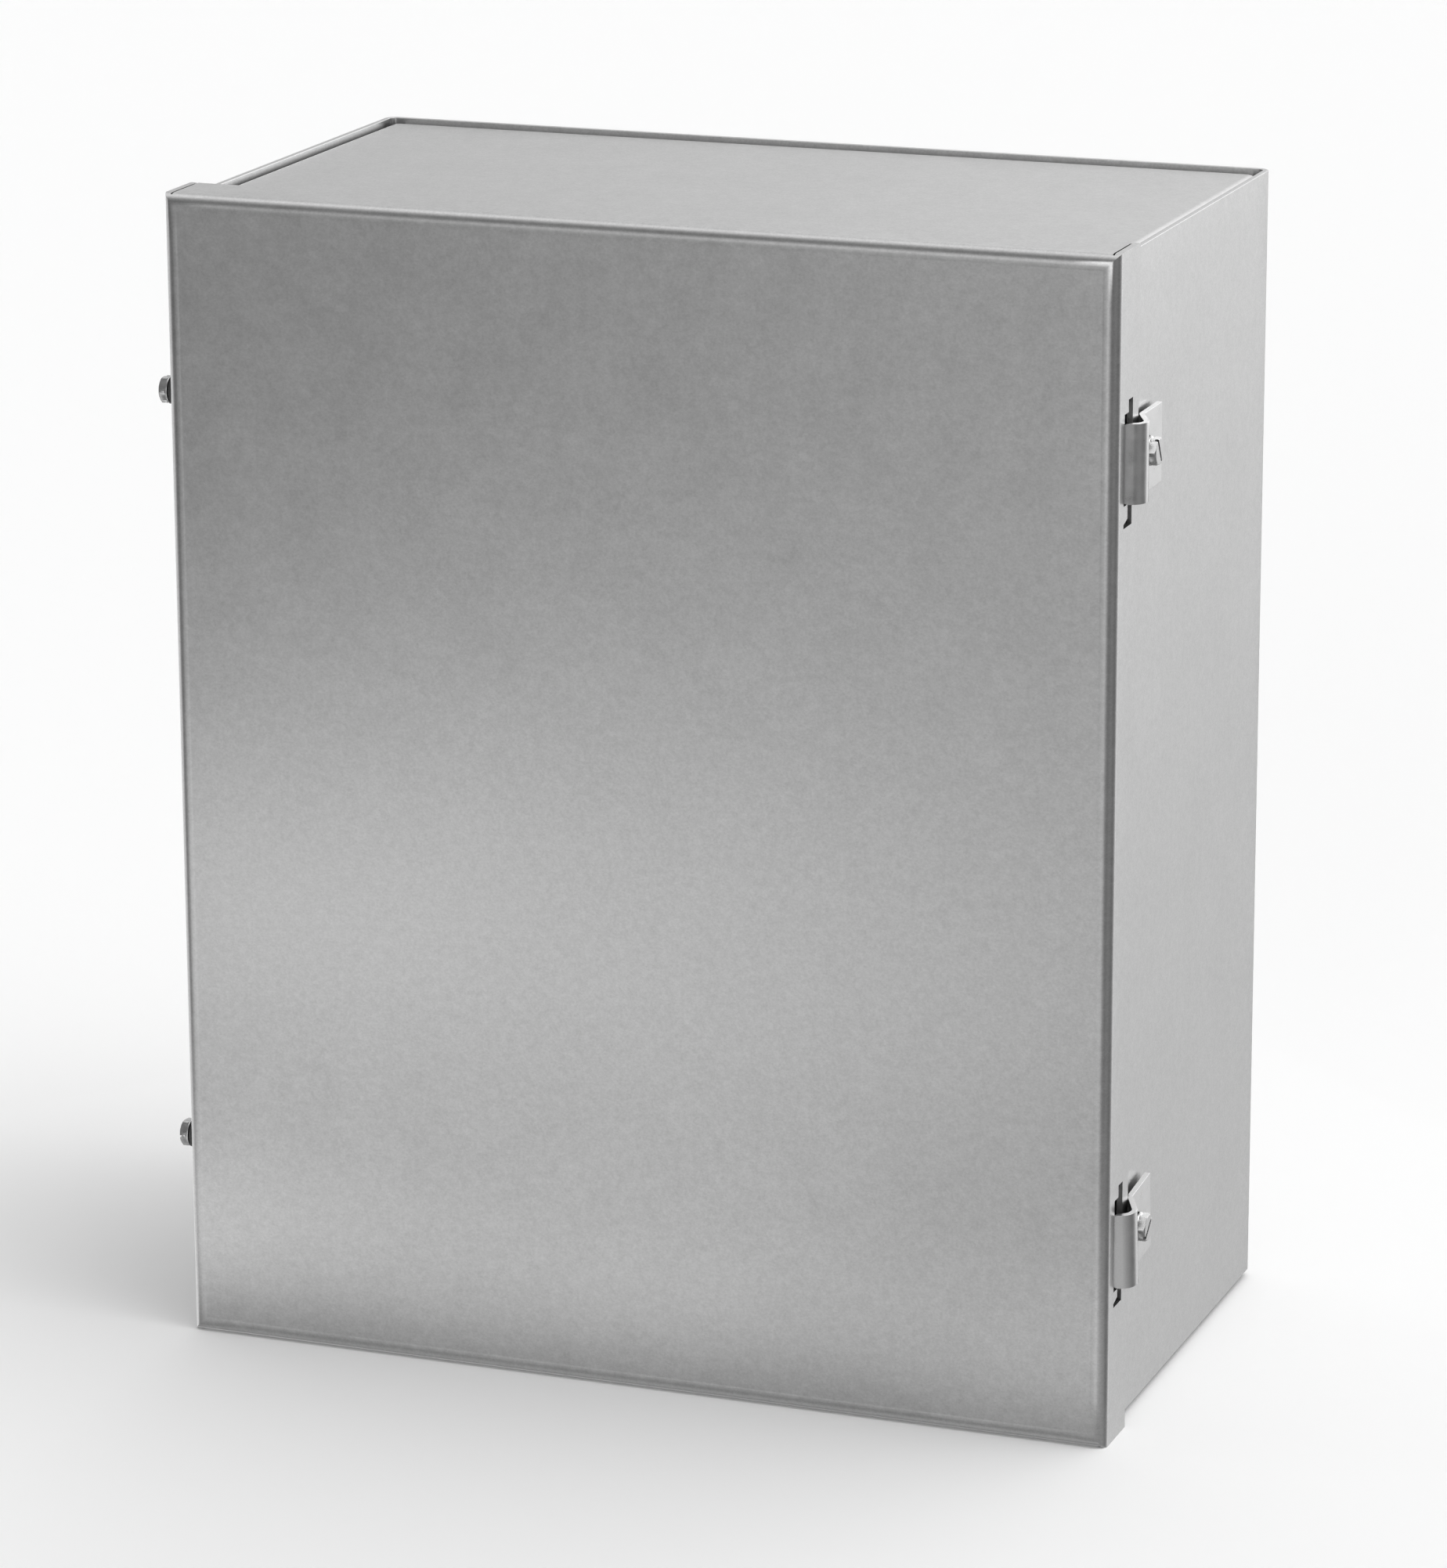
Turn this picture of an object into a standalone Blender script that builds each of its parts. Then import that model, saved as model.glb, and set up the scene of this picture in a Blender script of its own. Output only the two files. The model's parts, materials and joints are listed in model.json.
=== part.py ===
"""Wall-mounting sheet steel switchboard cabinet.

A folded cover hangs in front of a welded body. Two hook clamps hold its right flange, and two
screws with sealing washers hold the open slots of its left flange. An equipment plate stands on
studs inside. Metres, +Z up, front towards -Y, origin under the middle of the whole cabinet.
"""
import math

import bmesh
import bpy
from mathutils import Matrix, Vector

# Overall sizes
COVER_WIDTH = 0.252
COVER_HEIGHT = 0.304
TOTAL_DEPTH = 0.138
FLANGE_DEPTH = 0.0172
BODY_INSET = 0.002
LIP_SETBACK = 0.0040

# Sheet
SHEET = 0.0015
BEND_RADIUS = 0.0030
BEND_STEPS = 5
LIP_WIDTH = 0.0120
PANEL_FLANGE = 0.0120
PANEL_RECESS = 0.0010
GAP = 0.0003
CORNER_SEAM = 0.0004
CORNER_RELIEF = 0.0030

# Places of the fastening points
FASTENER_HEIGHTS = {"upper": 0.2515, "lower": 0.0515}
CLAMP_SCREW_DEPTH = 0.0245
RETAINING_SCREW_DEPTH = 0.0100

# Hook clamp
CLAMP_SHEET = 0.0014
CLAMP_HEIGHT = 0.0200
CLAMP_PLATE_END = 0.0355
CLAMP_PLATE_START = 0.0205
CLAMP_PLATE_LIFT = 0.0005
CLAMP_NOSE = 0.0042
CLAMP_HOOK_DEPTH = 0.0070
CLAMP_SLOT_LENGTH = 0.0075
CLAMP_SLOT_RADIUS = 0.0023

# Round-ended pocket pressed in the wall behind each clamp's top edge
POCKET_DEPTH = 0.0207
POCKET_RADIUS = 0.0032
POCKET_RISE = 0.0122
POCKET_LENGTH = 0.0070
POCKET_SINK = 0.0007

# Slot for the hook in the cover's right flange
SLOT_FRONT = 0.0092
SLOT_REAR = 0.0126
SLOT_HALF_HEIGHT = 0.0157
HOOK_NOTCH_FRONT = 0.0066
HOOK_NOTCH_HALF_HEIGHT = 0.0106
SLOT_TAIL_HEIGHT = 0.0010

# Screws, nuts and washers
SHANK_RADIUS = 0.0019
BORE_RADIUS = 0.0022
WASHER_FACE_RADIUS = 0.0037
WASHER_FACE = 0.0008
HEX_FLATS = 0.0064
HEX_HEIGHT = 0.0018
DRIVE_SLOT_WIDTH = 0.0011
DRIVE_SLOT_DEPTH = 0.0011
CLAMP_SCREW_LENGTH = 0.0120
RETAINING_SCREW_LENGTH = 0.0125
RETAINING_HEAD_LIFT = 0.0031
SEALING_WASHER = 0.0015
SEALING_WASHER_RADIUS = 0.0040
RIVET_FLANGE_RADIUS = 0.0040
RIVET_FLANGE = 0.0005
RIVET_BARREL_RADIUS = 0.0030
RIVET_LENGTH = 0.0100
WELD_NUT_FLATS = 0.0060
WELD_NUT_HEIGHT = 0.0032
OPEN_SLOT_HALF = 0.0024

# Gasket
GASKET_OUTER_INSET = 0.0045
GASKET_WIDTH = 0.0095

# Inside
PLATE_WIDTH = 0.190
PLATE_HEIGHT = 0.234
PLATE_SHEET = 0.0020
PLATE_CORNER = 0.0050
RAIL_HOLE_X = 0.0600
RAIL_HOLE_RISE = 0.0600
RAIL_HOLE_RADIUS = 0.0022
STUD_INSET = 0.0150
STUD_COLLAR_RADIUS = 0.0055
STUD_COLLAR_LENGTH = 0.0120
STUD_RADIUS = 0.0030
STUD_LENGTH = 0.0240
STUD_BORE = 0.0034
NUT_FLATS = 0.0100
NUT_HEIGHT = 0.0050
FLAT_WASHER = 0.0012
FLAT_WASHER_RADIUS = 0.0060
LOCK_WASHER = 0.0010
LOCK_WASHER_RADIUS = 0.0050
BODY_EARTH_X = 0.060
BODY_EARTH_HEIGHT = 0.0240
COVER_EARTH_X = 0.060
COVER_EARTH_HEIGHT = 0.0400
EARTH_STUD_LENGTH = 0.0150
WALL_HOLE_RADIUS = 0.0035
WALL_HOLE_X = 0.105
WALL_HOLE_INSET = 0.0180

ROUND_SIDES = 24

# Worked-out sizes
FRONT_Y = -TOTAL_DEPTH / 2
BACK_Y = TOTAL_DEPTH / 2
COVER_SIDE = COVER_WIDTH / 2
BODY_SIDE = COVER_SIDE - BODY_INSET
BODY_BOTTOM = BODY_INSET
BODY_TOP = COVER_HEIGHT - BODY_INSET
BODY_FRONT_Y = FRONT_Y + LIP_SETBACK
PANEL_SIDE = BODY_SIDE - SHEET - GAP
PANEL_BACK_Y = BACK_Y - SHEET - GAP
MIDDLE_Z = COVER_HEIGHT / 2

MATERIALS = {
    "galvanised": ((0.56, 0.57, 0.58), 1.0, 0.36),
    "inner_sheet": ((0.60, 0.61, 0.62), 1.0, 0.40),
    "zinc_clamp": ((0.66, 0.67, 0.68), 1.0, 0.28),
    "zinc_screw": ((0.70, 0.71, 0.72), 1.0, 0.20),
    "steel_nut": ((0.52, 0.53, 0.54), 1.0, 0.34),
    "brass": ((0.72, 0.55, 0.27), 1.0, 0.30),
    "rubber": ((0.03, 0.03, 0.03), 0.0, 0.75),
}


def clear_scene():
    """Remove whatever the scene holds."""
    for item in list(bpy.data.objects):
        bpy.data.objects.remove(item, do_unlink=True)


def make_material(name, slot):
    """A Principled material in the slot's colour, for one sub-part."""
    colour, metallic, roughness = MATERIALS[slot]
    material = bpy.data.materials.new(name)
    material.use_nodes = True
    shader = material.node_tree.nodes["Principled BSDF"]
    shader.inputs["Base Color"].default_value = (*colour, 1.0)
    shader.inputs["Metallic"].default_value = metallic
    shader.inputs["Roughness"].default_value = roughness
    return material


def new_object(name, bm, slot=None):
    """Turn a bmesh into an object, with a material of its own unless it is a cutter."""
    bmesh.ops.recalc_face_normals(bm, faces=bm.faces)
    mesh = bpy.data.meshes.new(name)
    bm.to_mesh(mesh)
    bm.free()
    part = bpy.data.objects.new(name, mesh)
    bpy.context.scene.collection.objects.link(part)
    if slot is None:
        part.hide_render = True
        part.display_type = "WIRE"
    else:
        mesh.materials.append(make_material(name, slot))
        mesh.shade_smooth()
        mesh.set_sharp_from_angle(angle=math.radians(35))
    return part


def put_origin(part, place):
    """Move the object's origin to a point without moving its shape."""
    part.data.transform(Matrix.Translation(-Vector(place)))
    part.location = place


def box_mesh(low, high):
    """A box between two corners."""
    bm = bmesh.new()
    low, high = Vector(low), Vector(high)
    size = high - low
    matrix = Matrix.Translation((low + high) / 2) @ Matrix.Diagonal((*size, 1.0))
    bmesh.ops.create_cube(bm, size=1.0, matrix=matrix)
    return bm


def cut(part, cutter):
    """Cut a cutter object's volume out of a part, then drop the cutter."""
    modifier = part.modifiers.new("cut", "BOOLEAN")
    modifier.operation = "DIFFERENCE"
    modifier.solver = "EXACT"
    modifier.object = cutter
    evaluated = part.evaluated_get(bpy.context.evaluated_depsgraph_get())
    result = bpy.data.meshes.new_from_object(evaluated)
    part.modifiers.remove(modifier)
    old = part.data
    part.data = result
    result.name = part.name
    bpy.data.meshes.remove(old)
    bpy.data.objects.remove(cutter, do_unlink=True)


def cut_box(part, low, high):
    """Cut a box out of a part."""
    cut(part, new_object("cutter", box_mesh(low, high)))


def cylinder_mesh(radius, start, end, sides=ROUND_SIDES):
    """A closed cylinder between two points."""
    bm = bmesh.new()
    start, end = Vector(start), Vector(end)
    axis = end - start
    turn = Vector((0, 0, 1)).rotation_difference(axis).to_matrix().to_4x4()
    matrix = Matrix.Translation((start + end) / 2) @ turn
    bmesh.ops.create_cone(
        bm, cap_ends=True, segments=sides, radius1=radius, radius2=radius,
        depth=axis.length, matrix=matrix)
    return bm


def cut_round(part, radius, start, end):
    """Drill a round hole through a part."""
    cut(part, new_object("cutter", cylinder_mesh(radius, start, end)))


def extrude_outline(outline, start, end, plane):
    """A prism from an outline in the XY or YZ plane, along the third axis."""
    places = {"XY": lambda u, v, w: (u, v, w), "YZ": lambda u, v, w: (w, u, v)}
    place = places[plane]
    bm = bmesh.new()
    verts = [bm.verts.new(place(u, v, start)) for u, v in outline]
    base = bm.faces.new(verts)
    moved = bmesh.ops.extrude_face_region(bm, geom=[base])
    shift = Vector(place(0, 0, end - start))
    top = [item for item in moved["geom"] if isinstance(item, bmesh.types.BMVert)]
    bmesh.ops.translate(bm, vec=shift, verts=top)
    return bm


def fillet(before, corner, after, radius, steps):
    """Points and directions along the arc that rounds one corner of a path."""
    into = (corner - before).normalized()
    out = (after - corner).normalized()
    turn = into.angle_signed(out)
    reach = radius * abs(math.tan(turn / 2))
    start = corner - into * reach
    points = []
    for step in range(steps + 1):
        angle = turn * step / steps
        # angle_signed counts clockwise turns as positive
        cosine, sine = math.cos(-angle), math.sin(-angle)
        heading = Vector((into.x * cosine - into.y * sine, into.x * sine + into.y * cosine))
        side = Vector((into.y, -into.x)) * (1 if turn > 0 else -1)
        centre = start + side * radius
        spoke = -side
        rotated = Vector((spoke.x * cosine - spoke.y * sine, spoke.x * sine + spoke.y * cosine))
        points.append((centre + rotated * radius, heading))
    return points


def folded_strip(path, radius, thickness, steps=BEND_STEPS):
    """The outline of a folded strip of sheet whose middle line follows the path's corners."""
    path = [Vector(point) for point in path]
    first = (path[1] - path[0]).normalized()
    last = (path[-1] - path[-2]).normalized()
    line = [(path[0], first)]
    for before, corner, after in zip(path, path[1:], path[2:]):
        line += fillet(before, corner, after, radius, steps)
    line.append((path[-1], last))
    left, right = [], []
    for point, heading in line:
        normal = Vector((-heading.y, heading.x)) * thickness / 2
        left.append(point + normal)
        right.append(point - normal)
    return [tuple(point) for point in left + right[::-1]]


def bevel_edges(bm, chosen, radius, steps=BEND_STEPS):
    """Round the chosen edges of a bmesh."""
    edges = [edge for edge in bm.edges if chosen(edge)]
    bmesh.ops.bevel(
        bm, geom=edges, offset=radius, offset_type="OFFSET", segments=steps,
        profile=0.5, affect="EDGES", clamp_overlap=False)


def pan_mesh(low, high, axis, side, inside=False):
    """A box whose four edges on one face are rounded: the outside or inside of a folded pan."""
    radius = BEND_RADIUS - SHEET if inside else BEND_RADIUS
    bm = box_mesh(low, high)
    level = high[axis] if side > 0 else low[axis]
    bevel_edges(
        bm, lambda edge: all(abs(v.co[axis] - level) < 1e-6 for v in edge.verts), radius)
    return bm


def lathe(profile, axis, place, hexagon=None, sides=ROUND_SIDES):
    """Turn (radius, height) points about an axis at a place.

    A radius of None in the profile is a hexagon's, with the given distance across its flats.
    """
    bm = bmesh.new()
    turn = Vector((0, 0, 1)).rotation_difference(Vector(axis)).to_matrix().to_4x4()
    matrix = Matrix.Translation(place) @ turn
    rings = []
    for radius, height in profile:
        ring = []
        for index in range(sides):
            angle = 2 * math.pi * index / sides
            reach = radius
            if radius is None:
                within = (angle + math.pi / 6) % (math.pi / 3) - math.pi / 6
                reach = hexagon / 2 / math.cos(within)
            spot = Vector((reach * math.cos(angle), reach * math.sin(angle), height))
            ring.append(bm.verts.new(matrix @ spot))
        rings.append(ring)
    for lower, upper in zip(rings, rings[1:]):
        for index in range(sides):
            following = (index + 1) % sides
            bm.faces.new((lower[index], lower[following], upper[following], upper[index]))
    return bm, rings


def turned(name, profile, axis, place, slot, hexagon=None):
    """A solid turned piece, closed at both ends."""
    bm, rings = lathe(profile, axis, place, hexagon)
    bm.faces.new(rings[0][::-1])
    bm.faces.new(rings[-1])
    return new_object(name, bm, slot)


def ring_piece(name, profile, axis, place, slot, hexagon=None):
    """A turned piece with a bore, whose profile runs right round its section."""
    bm, _ = lathe(profile + profile[:1], axis, place, hexagon)
    bmesh.ops.remove_doubles(bm, verts=bm.verts, dist=1e-6)
    return new_object(name, bm, slot)


def make_body_wrap():
    """Left wall, back and right wall folded from one sheet, with an inward lip at the front."""
    half = SHEET / 2
    side = BODY_SIDE - half
    front = BODY_FRONT_Y + half
    back = BACK_Y - half
    lip = BODY_SIDE - LIP_WIDTH
    path = [(-lip, front), (-side, front), (-side, back), (side, back), (side, front), (lip, front)]
    outline = folded_strip(path, BEND_RADIUS - half, SHEET)
    wrap = new_object(
        "body_wrap", extrude_outline(outline, BODY_BOTTOM, BODY_TOP, "XY"), "galvanised")
    for height in FASTENER_HEIGHTS.values():
        right_y = FRONT_Y + CLAMP_SCREW_DEPTH
        left_y = FRONT_Y + RETAINING_SCREW_DEPTH
        cut_round(wrap, RIVET_BARREL_RADIUS + GAP, (0, right_y, height), (COVER_SIDE, right_y, height))
        cut_round(wrap, BORE_RADIUS, (0, left_y, height), (-COVER_SIDE, left_y, height))
        cut_clamp_pocket(wrap, height)
    for x, z in wall_hole_places():
        cut_round(wrap, WALL_HOLE_RADIUS, (x, 0, z), (x, BACK_Y + SHEET, z))
    return wrap


def cut_clamp_pocket(wrap, height):
    """Press a shallow upright pocket with a round top into the right wall."""
    floor = BODY_SIDE - POCKET_SINK
    middle_y = FRONT_Y + POCKET_DEPTH
    round_z = height + POCKET_RISE - POCKET_RADIUS
    cut_round(wrap, POCKET_RADIUS, (floor, middle_y, round_z), (COVER_SIDE, middle_y, round_z))
    cut_box(
        wrap,
        (floor, middle_y - POCKET_RADIUS, height + POCKET_RISE - POCKET_LENGTH),
        (COVER_SIDE, middle_y + POCKET_RADIUS, round_z))


def wall_hole_places():
    """The four holes for hanging the cabinet on a wall."""
    return [
        (x, z)
        for z in (BODY_BOTTOM + WALL_HOLE_INSET, BODY_TOP - WALL_HOLE_INSET)
        for x in (-WALL_HOLE_X, WALL_HOLE_X)]


def make_end_panel(name, top):
    """Top or bottom panel: a shallow pan between the walls, its flanges folded inwards."""
    outer = BODY_TOP - PANEL_RECESS if top else BODY_BOTTOM + PANEL_RECESS
    inward = -1 if top else 1
    inner = outer + inward * PANEL_FLANGE
    low = (-PANEL_SIDE, BODY_FRONT_Y, min(outer, inner))
    high = (PANEL_SIDE, PANEL_BACK_Y, max(outer, inner))
    panel = new_object(name, pan_mesh(low, high, 2, -inward), "galvanised")
    face = outer + inward * SHEET
    past = inner + inward * SHEET
    hollow_low = (low[0] + SHEET, low[1] + SHEET, min(face, past))
    hollow_high = (high[0] - SHEET, high[1] - SHEET, max(face, past))
    cut(panel, new_object("cutter", pan_mesh(hollow_low, hollow_high, 2, -inward, True)))
    lip = BODY_SIDE - LIP_WIDTH - GAP
    for side in (-1, 1):
        ends = sorted((side * lip, side * COVER_SIDE))
        cut_box(
            panel,
            (ends[0], FRONT_Y, BODY_BOTTOM - SHEET),
            (ends[1], BODY_FRONT_Y + BEND_RADIUS + GAP, BODY_TOP + SHEET))
        ends = sorted((side * (PANEL_SIDE - CORNER_RELIEF), side * COVER_SIDE))
        cut_box(
            panel,
            (ends[0], PANEL_BACK_Y - CORNER_RELIEF, BODY_BOTTOM - SHEET),
            (ends[1], BACK_Y, BODY_TOP + SHEET))
    return panel


def make_cover():
    """The cover: a shallow pan with a hook slot per clamp and an open slot per screw."""
    rear = FRONT_Y + FLANGE_DEPTH
    low = (-COVER_SIDE, FRONT_Y, 0.0)
    high = (COVER_SIDE, rear, COVER_HEIGHT)
    cover = new_object("cover", pan_mesh(low, high, 1, -1), "galvanised")
    inner_low = (low[0] + SHEET, FRONT_Y + SHEET, SHEET)
    inner_high = (high[0] - SHEET, rear + SHEET, COVER_HEIGHT - SHEET)
    cut(cover, new_object("cutter", pan_mesh(inner_low, inner_high, 1, -1, True)))
    for side in (-1, 1):
        seam = side * (COVER_SIDE - SHEET - CORNER_SEAM)
        ends = sorted((seam, seam - side * CORNER_SEAM))
        for low_z in (-SHEET, COVER_HEIGHT - SHEET - GAP):
            cut_box(
                cover,
                (ends[0], FRONT_Y + BEND_RADIUS, low_z),
                (ends[1], rear + SHEET, low_z + 2 * SHEET + GAP))
    for height in FASTENER_HEIGHTS.values():
        cut_hook_slot(cover, height)
        cut_box(
            cover,
            (-COVER_SIDE - SHEET, FRONT_Y + RETAINING_SCREW_DEPTH - OPEN_SLOT_HALF,
             height - OPEN_SLOT_HALF),
            (-COVER_SIDE + 2 * SHEET, rear + SHEET, height + OPEN_SLOT_HALF))
    return cover


def cut_hook_slot(cover, height):
    """A slot along the flange, widened for the hook, with a short tail at its lower end."""
    slot_low = height - SLOT_HALF_HEIGHT
    slot_high = height + SLOT_HALF_HEIGHT
    notch_low = height - HOOK_NOTCH_HALF_HEIGHT
    notch_high = height + HOOK_NOTCH_HALF_HEIGHT
    front, rear, notch = (FRONT_Y + depth for depth in (SLOT_FRONT, SLOT_REAR, HOOK_NOTCH_FRONT))
    outline = [
        (rear, slot_low), (rear, slot_high), (front, slot_high), (front, notch_high),
        (notch, notch_high), (notch, notch_low), (front, notch_low),
        (front, slot_low + 2 * SLOT_TAIL_HEIGHT), (notch, slot_low + SLOT_TAIL_HEIGHT),
        (notch, slot_low)]
    bm = extrude_outline(outline, COVER_SIDE - 2 * SHEET, COVER_SIDE + SHEET, "YZ")
    cut(cover, new_object("cutter", bm))


def make_gasket():
    """A rubber strip round the inside of the cover, pressed by the body's front lip."""
    front = FRONT_Y + SHEET + GAP
    rear = BODY_FRONT_Y - GAP
    inset = GASKET_OUTER_INSET
    low = (-COVER_SIDE + inset, front, inset)
    high = (COVER_SIDE - inset, rear, COVER_HEIGHT - inset)
    gasket = new_object("cover_gasket", box_mesh(low, high), "rubber")
    width = GASKET_WIDTH
    cut_box(
        gasket,
        (low[0] + width, FRONT_Y, low[2] + width),
        (high[0] - width, BODY_FRONT_Y, high[2] - width))
    return gasket


def hook_clamp_outline():
    """The clamp's section: a plate by the wall, a nose over the flange and a hook into its slot."""
    half = CLAMP_SHEET / 2
    plate_x = COVER_SIDE + CLAMP_PLATE_LIFT - half
    nose_x = COVER_SIDE + CLAMP_NOSE - half
    hook_y = FRONT_Y + CLAMP_HOOK_DEPTH + half
    path = [
        (BODY_SIDE + GAP, hook_y),
        (nose_x, hook_y),
        (nose_x, FRONT_Y + (CLAMP_HOOK_DEPTH + CLAMP_PLATE_START) / 2),
        (plate_x, FRONT_Y + CLAMP_PLATE_START),
        (plate_x, FRONT_Y + CLAMP_PLATE_END)]
    return folded_strip(path, 2 * CLAMP_SHEET, CLAMP_SHEET, steps=6)


def make_clamp(name, height):
    """One hook clamp with its upright screw slot."""
    half = CLAMP_HEIGHT / 2
    bm = extrude_outline(hook_clamp_outline(), height - half, height + half, "XY")
    clamp = new_object(name, bm, "zinc_clamp")
    screw_y = FRONT_Y + CLAMP_SCREW_DEPTH
    reach = CLAMP_SLOT_LENGTH / 2 - CLAMP_SLOT_RADIUS
    for shift in (-reach, reach):
        cut_round(
            clamp, CLAMP_SLOT_RADIUS,
            (BODY_SIDE, screw_y, height + shift), (COVER_SIDE + CLAMP_NOSE, screw_y, height + shift))
    cut_box(
        clamp,
        (BODY_SIDE, screw_y - CLAMP_SLOT_RADIUS, height - reach),
        (COVER_SIDE + SHEET, screw_y + CLAMP_SLOT_RADIUS, height + reach))
    put_origin(clamp, (COVER_SIDE, screw_y, height))
    return clamp


def make_screw(name, axis, place, length):
    """A slotted hexagon screw; its place is the middle of its bearing face, its axis points out."""
    top = WASHER_FACE + HEX_HEIGHT
    edge = 0.0003
    profile = [
        (SHANK_RADIUS - edge, -length),
        (SHANK_RADIUS, -length + edge),
        (SHANK_RADIUS, 0.0),
        (WASHER_FACE_RADIUS, 0.0),
        (WASHER_FACE_RADIUS, WASHER_FACE - edge),
        (HEX_FLATS / 2 / math.cos(math.pi / 6), WASHER_FACE),
        (None, WASHER_FACE + edge),
        (None, top - edge),
        (HEX_FLATS / 2, top)]
    screw = turned(name, profile, axis, place, "zinc_screw", HEX_FLATS)
    outward = Vector(axis)
    middle = Vector(place) + outward * (top - DRIVE_SLOT_DEPTH / 2 + edge)
    reach = Vector((
        (DRIVE_SLOT_DEPTH + 2 * edge) / 2, DRIVE_SLOT_WIDTH / 2, WASHER_FACE_RADIUS * 1.2))
    cut_box(screw, middle - reach, middle + reach)
    put_origin(screw, place)
    return screw


def make_clamp_fastening(level, height):
    """Clamp, clamp screw and the rivet nut it turns in."""
    screw_y = FRONT_Y + CLAMP_SCREW_DEPTH
    make_clamp(f"hook_clamp_{level}", height)
    face = COVER_SIDE + CLAMP_PLATE_LIFT + GAP
    make_screw(f"clamp_screw_{level}", (1, 0, 0), (face, screw_y, height), CLAMP_SCREW_LENGTH)
    wall = BODY_SIDE + GAP
    inner_end = wall - RIVET_LENGTH
    profile = [
        (BORE_RADIUS, inner_end - wall),
        (RIVET_BARREL_RADIUS, inner_end - wall),
        (RIVET_BARREL_RADIUS, 0.0),
        (RIVET_FLANGE_RADIUS, 0.0),
        (RIVET_FLANGE_RADIUS, RIVET_FLANGE),
        (BORE_RADIUS, RIVET_FLANGE)]
    ring_piece(f"rivet_nut_{level}", profile, (1, 0, 0), (wall, screw_y, height), "steel_nut")


def make_retaining_fastening(level, height):
    """Retaining screw, its sealing washer and the weld nut inside the left wall."""
    screw_y = FRONT_Y + RETAINING_SCREW_DEPTH
    head = -COVER_SIDE - RETAINING_HEAD_LIFT
    make_screw(
        f"retaining_screw_{level}", (-1, 0, 0), (head, screw_y, height), RETAINING_SCREW_LENGTH)
    washer_top = head + GAP
    profile = [
        (BORE_RADIUS, 0.0),
        (SEALING_WASHER_RADIUS, 0.0),
        (SEALING_WASHER_RADIUS, SEALING_WASHER),
        (BORE_RADIUS, SEALING_WASHER)]
    washer = ring_piece(
        f"sealing_washer_{level}", profile, (1, 0, 0), (washer_top, screw_y, height), "rubber")
    put_origin(washer, (washer_top, screw_y, height))
    profile = [
        (BORE_RADIUS, 0.0), (None, 0.0), (None, WELD_NUT_HEIGHT), (BORE_RADIUS, WELD_NUT_HEIGHT)]
    nut_face = -BODY_SIDE + SHEET + GAP
    ring_piece(
        f"weld_nut_{level}", profile, (1, 0, 0), (nut_face, screw_y, height), "steel_nut",
        WELD_NUT_FLATS)


def stud_places():
    """Name and place of each stud that carries the equipment plate."""
    across = PLATE_WIDTH / 2 - STUD_INSET
    up = PLATE_HEIGHT / 2 - STUD_INSET
    return [
        (f"{row}_{side}", x, MIDDLE_Z + z)
        for row, z in (("upper", up), ("lower", -up))
        for side, x in (("left", -across), ("right", across))]


def make_stud(name, x, z):
    """A collar stud on the back wall, which holds the plate off the wall."""
    base = BACK_Y - SHEET - GAP
    edge = 0.0005
    profile = [
        (STUD_COLLAR_RADIUS, 0.0),
        (STUD_COLLAR_RADIUS, STUD_COLLAR_LENGTH),
        (STUD_RADIUS, STUD_COLLAR_LENGTH),
        (STUD_RADIUS, STUD_LENGTH - edge),
        (STUD_RADIUS - edge, STUD_LENGTH)]
    turned(name, profile, (0, -1, 0), (x, base, z), "steel_nut")


def make_washer(name, x, y, z, thickness, radius, slot):
    """A flat washer with its front face at y, lying across Y."""
    bore = STUD_BORE
    profile = [(bore, 0.0), (radius, 0.0), (radius, thickness), (bore, thickness)]
    ring_piece(name, profile, (0, -1, 0), (x, y + thickness, z), slot)


def make_nut(name, x, y, z, slot):
    """A hexagon nut whose rear face is at y."""
    bore = STUD_BORE
    profile = [(bore, 0.0), (None, 0.0), (None, NUT_HEIGHT), (bore, NUT_HEIGHT)]
    ring_piece(name, profile, (0, -1, 0), (x, y, z), slot, NUT_FLATS)


def plate_face():
    """Y of the equipment plate's rear face."""
    return BACK_Y - SHEET - GAP - STUD_COLLAR_LENGTH - GAP


def make_equipment_plate():
    """The flat plate that switchgear is fixed to: stud holes, and four holes for two rails."""
    rear = plate_face()
    half_width, half_height = PLATE_WIDTH / 2, PLATE_HEIGHT / 2
    bm = box_mesh(
        (-half_width, rear - PLATE_SHEET, MIDDLE_Z - half_height),
        (half_width, rear, MIDDLE_Z + half_height))
    bevel_edges(
        bm, lambda edge: abs(edge.verts[0].co.y - edge.verts[1].co.y) > PLATE_SHEET / 2,
        PLATE_CORNER, 3)
    plate = new_object("equipment_plate", bm, "inner_sheet")
    for _, x, z in stud_places():
        cut_round(plate, STUD_BORE, (x, rear - 2 * PLATE_SHEET, z), (x, rear + PLATE_SHEET, z))
    for x in (-RAIL_HOLE_X, RAIL_HOLE_X):
        for z in (MIDDLE_Z - RAIL_HOLE_RISE, MIDDLE_Z + RAIL_HOLE_RISE):
            cut_round(
                plate, RAIL_HOLE_RADIUS, (x, rear - 2 * PLATE_SHEET, z), (x, rear + PLATE_SHEET, z))
    return plate


def make_plate_fixings():
    """Studs, washers and nuts of the equipment plate, each a piece of its own."""
    front = plate_face() - PLATE_SHEET - GAP
    for place, x, z in stud_places():
        make_stud(f"plate_stud_{place}", x, z)
        make_washer(
            f"plate_washer_{place}", x, front - FLAT_WASHER, z, FLAT_WASHER, FLAT_WASHER_RADIUS,
            "zinc_clamp")
        make_nut(f"plate_nut_{place}", x, front - FLAT_WASHER - GAP, z, "zinc_clamp")


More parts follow.
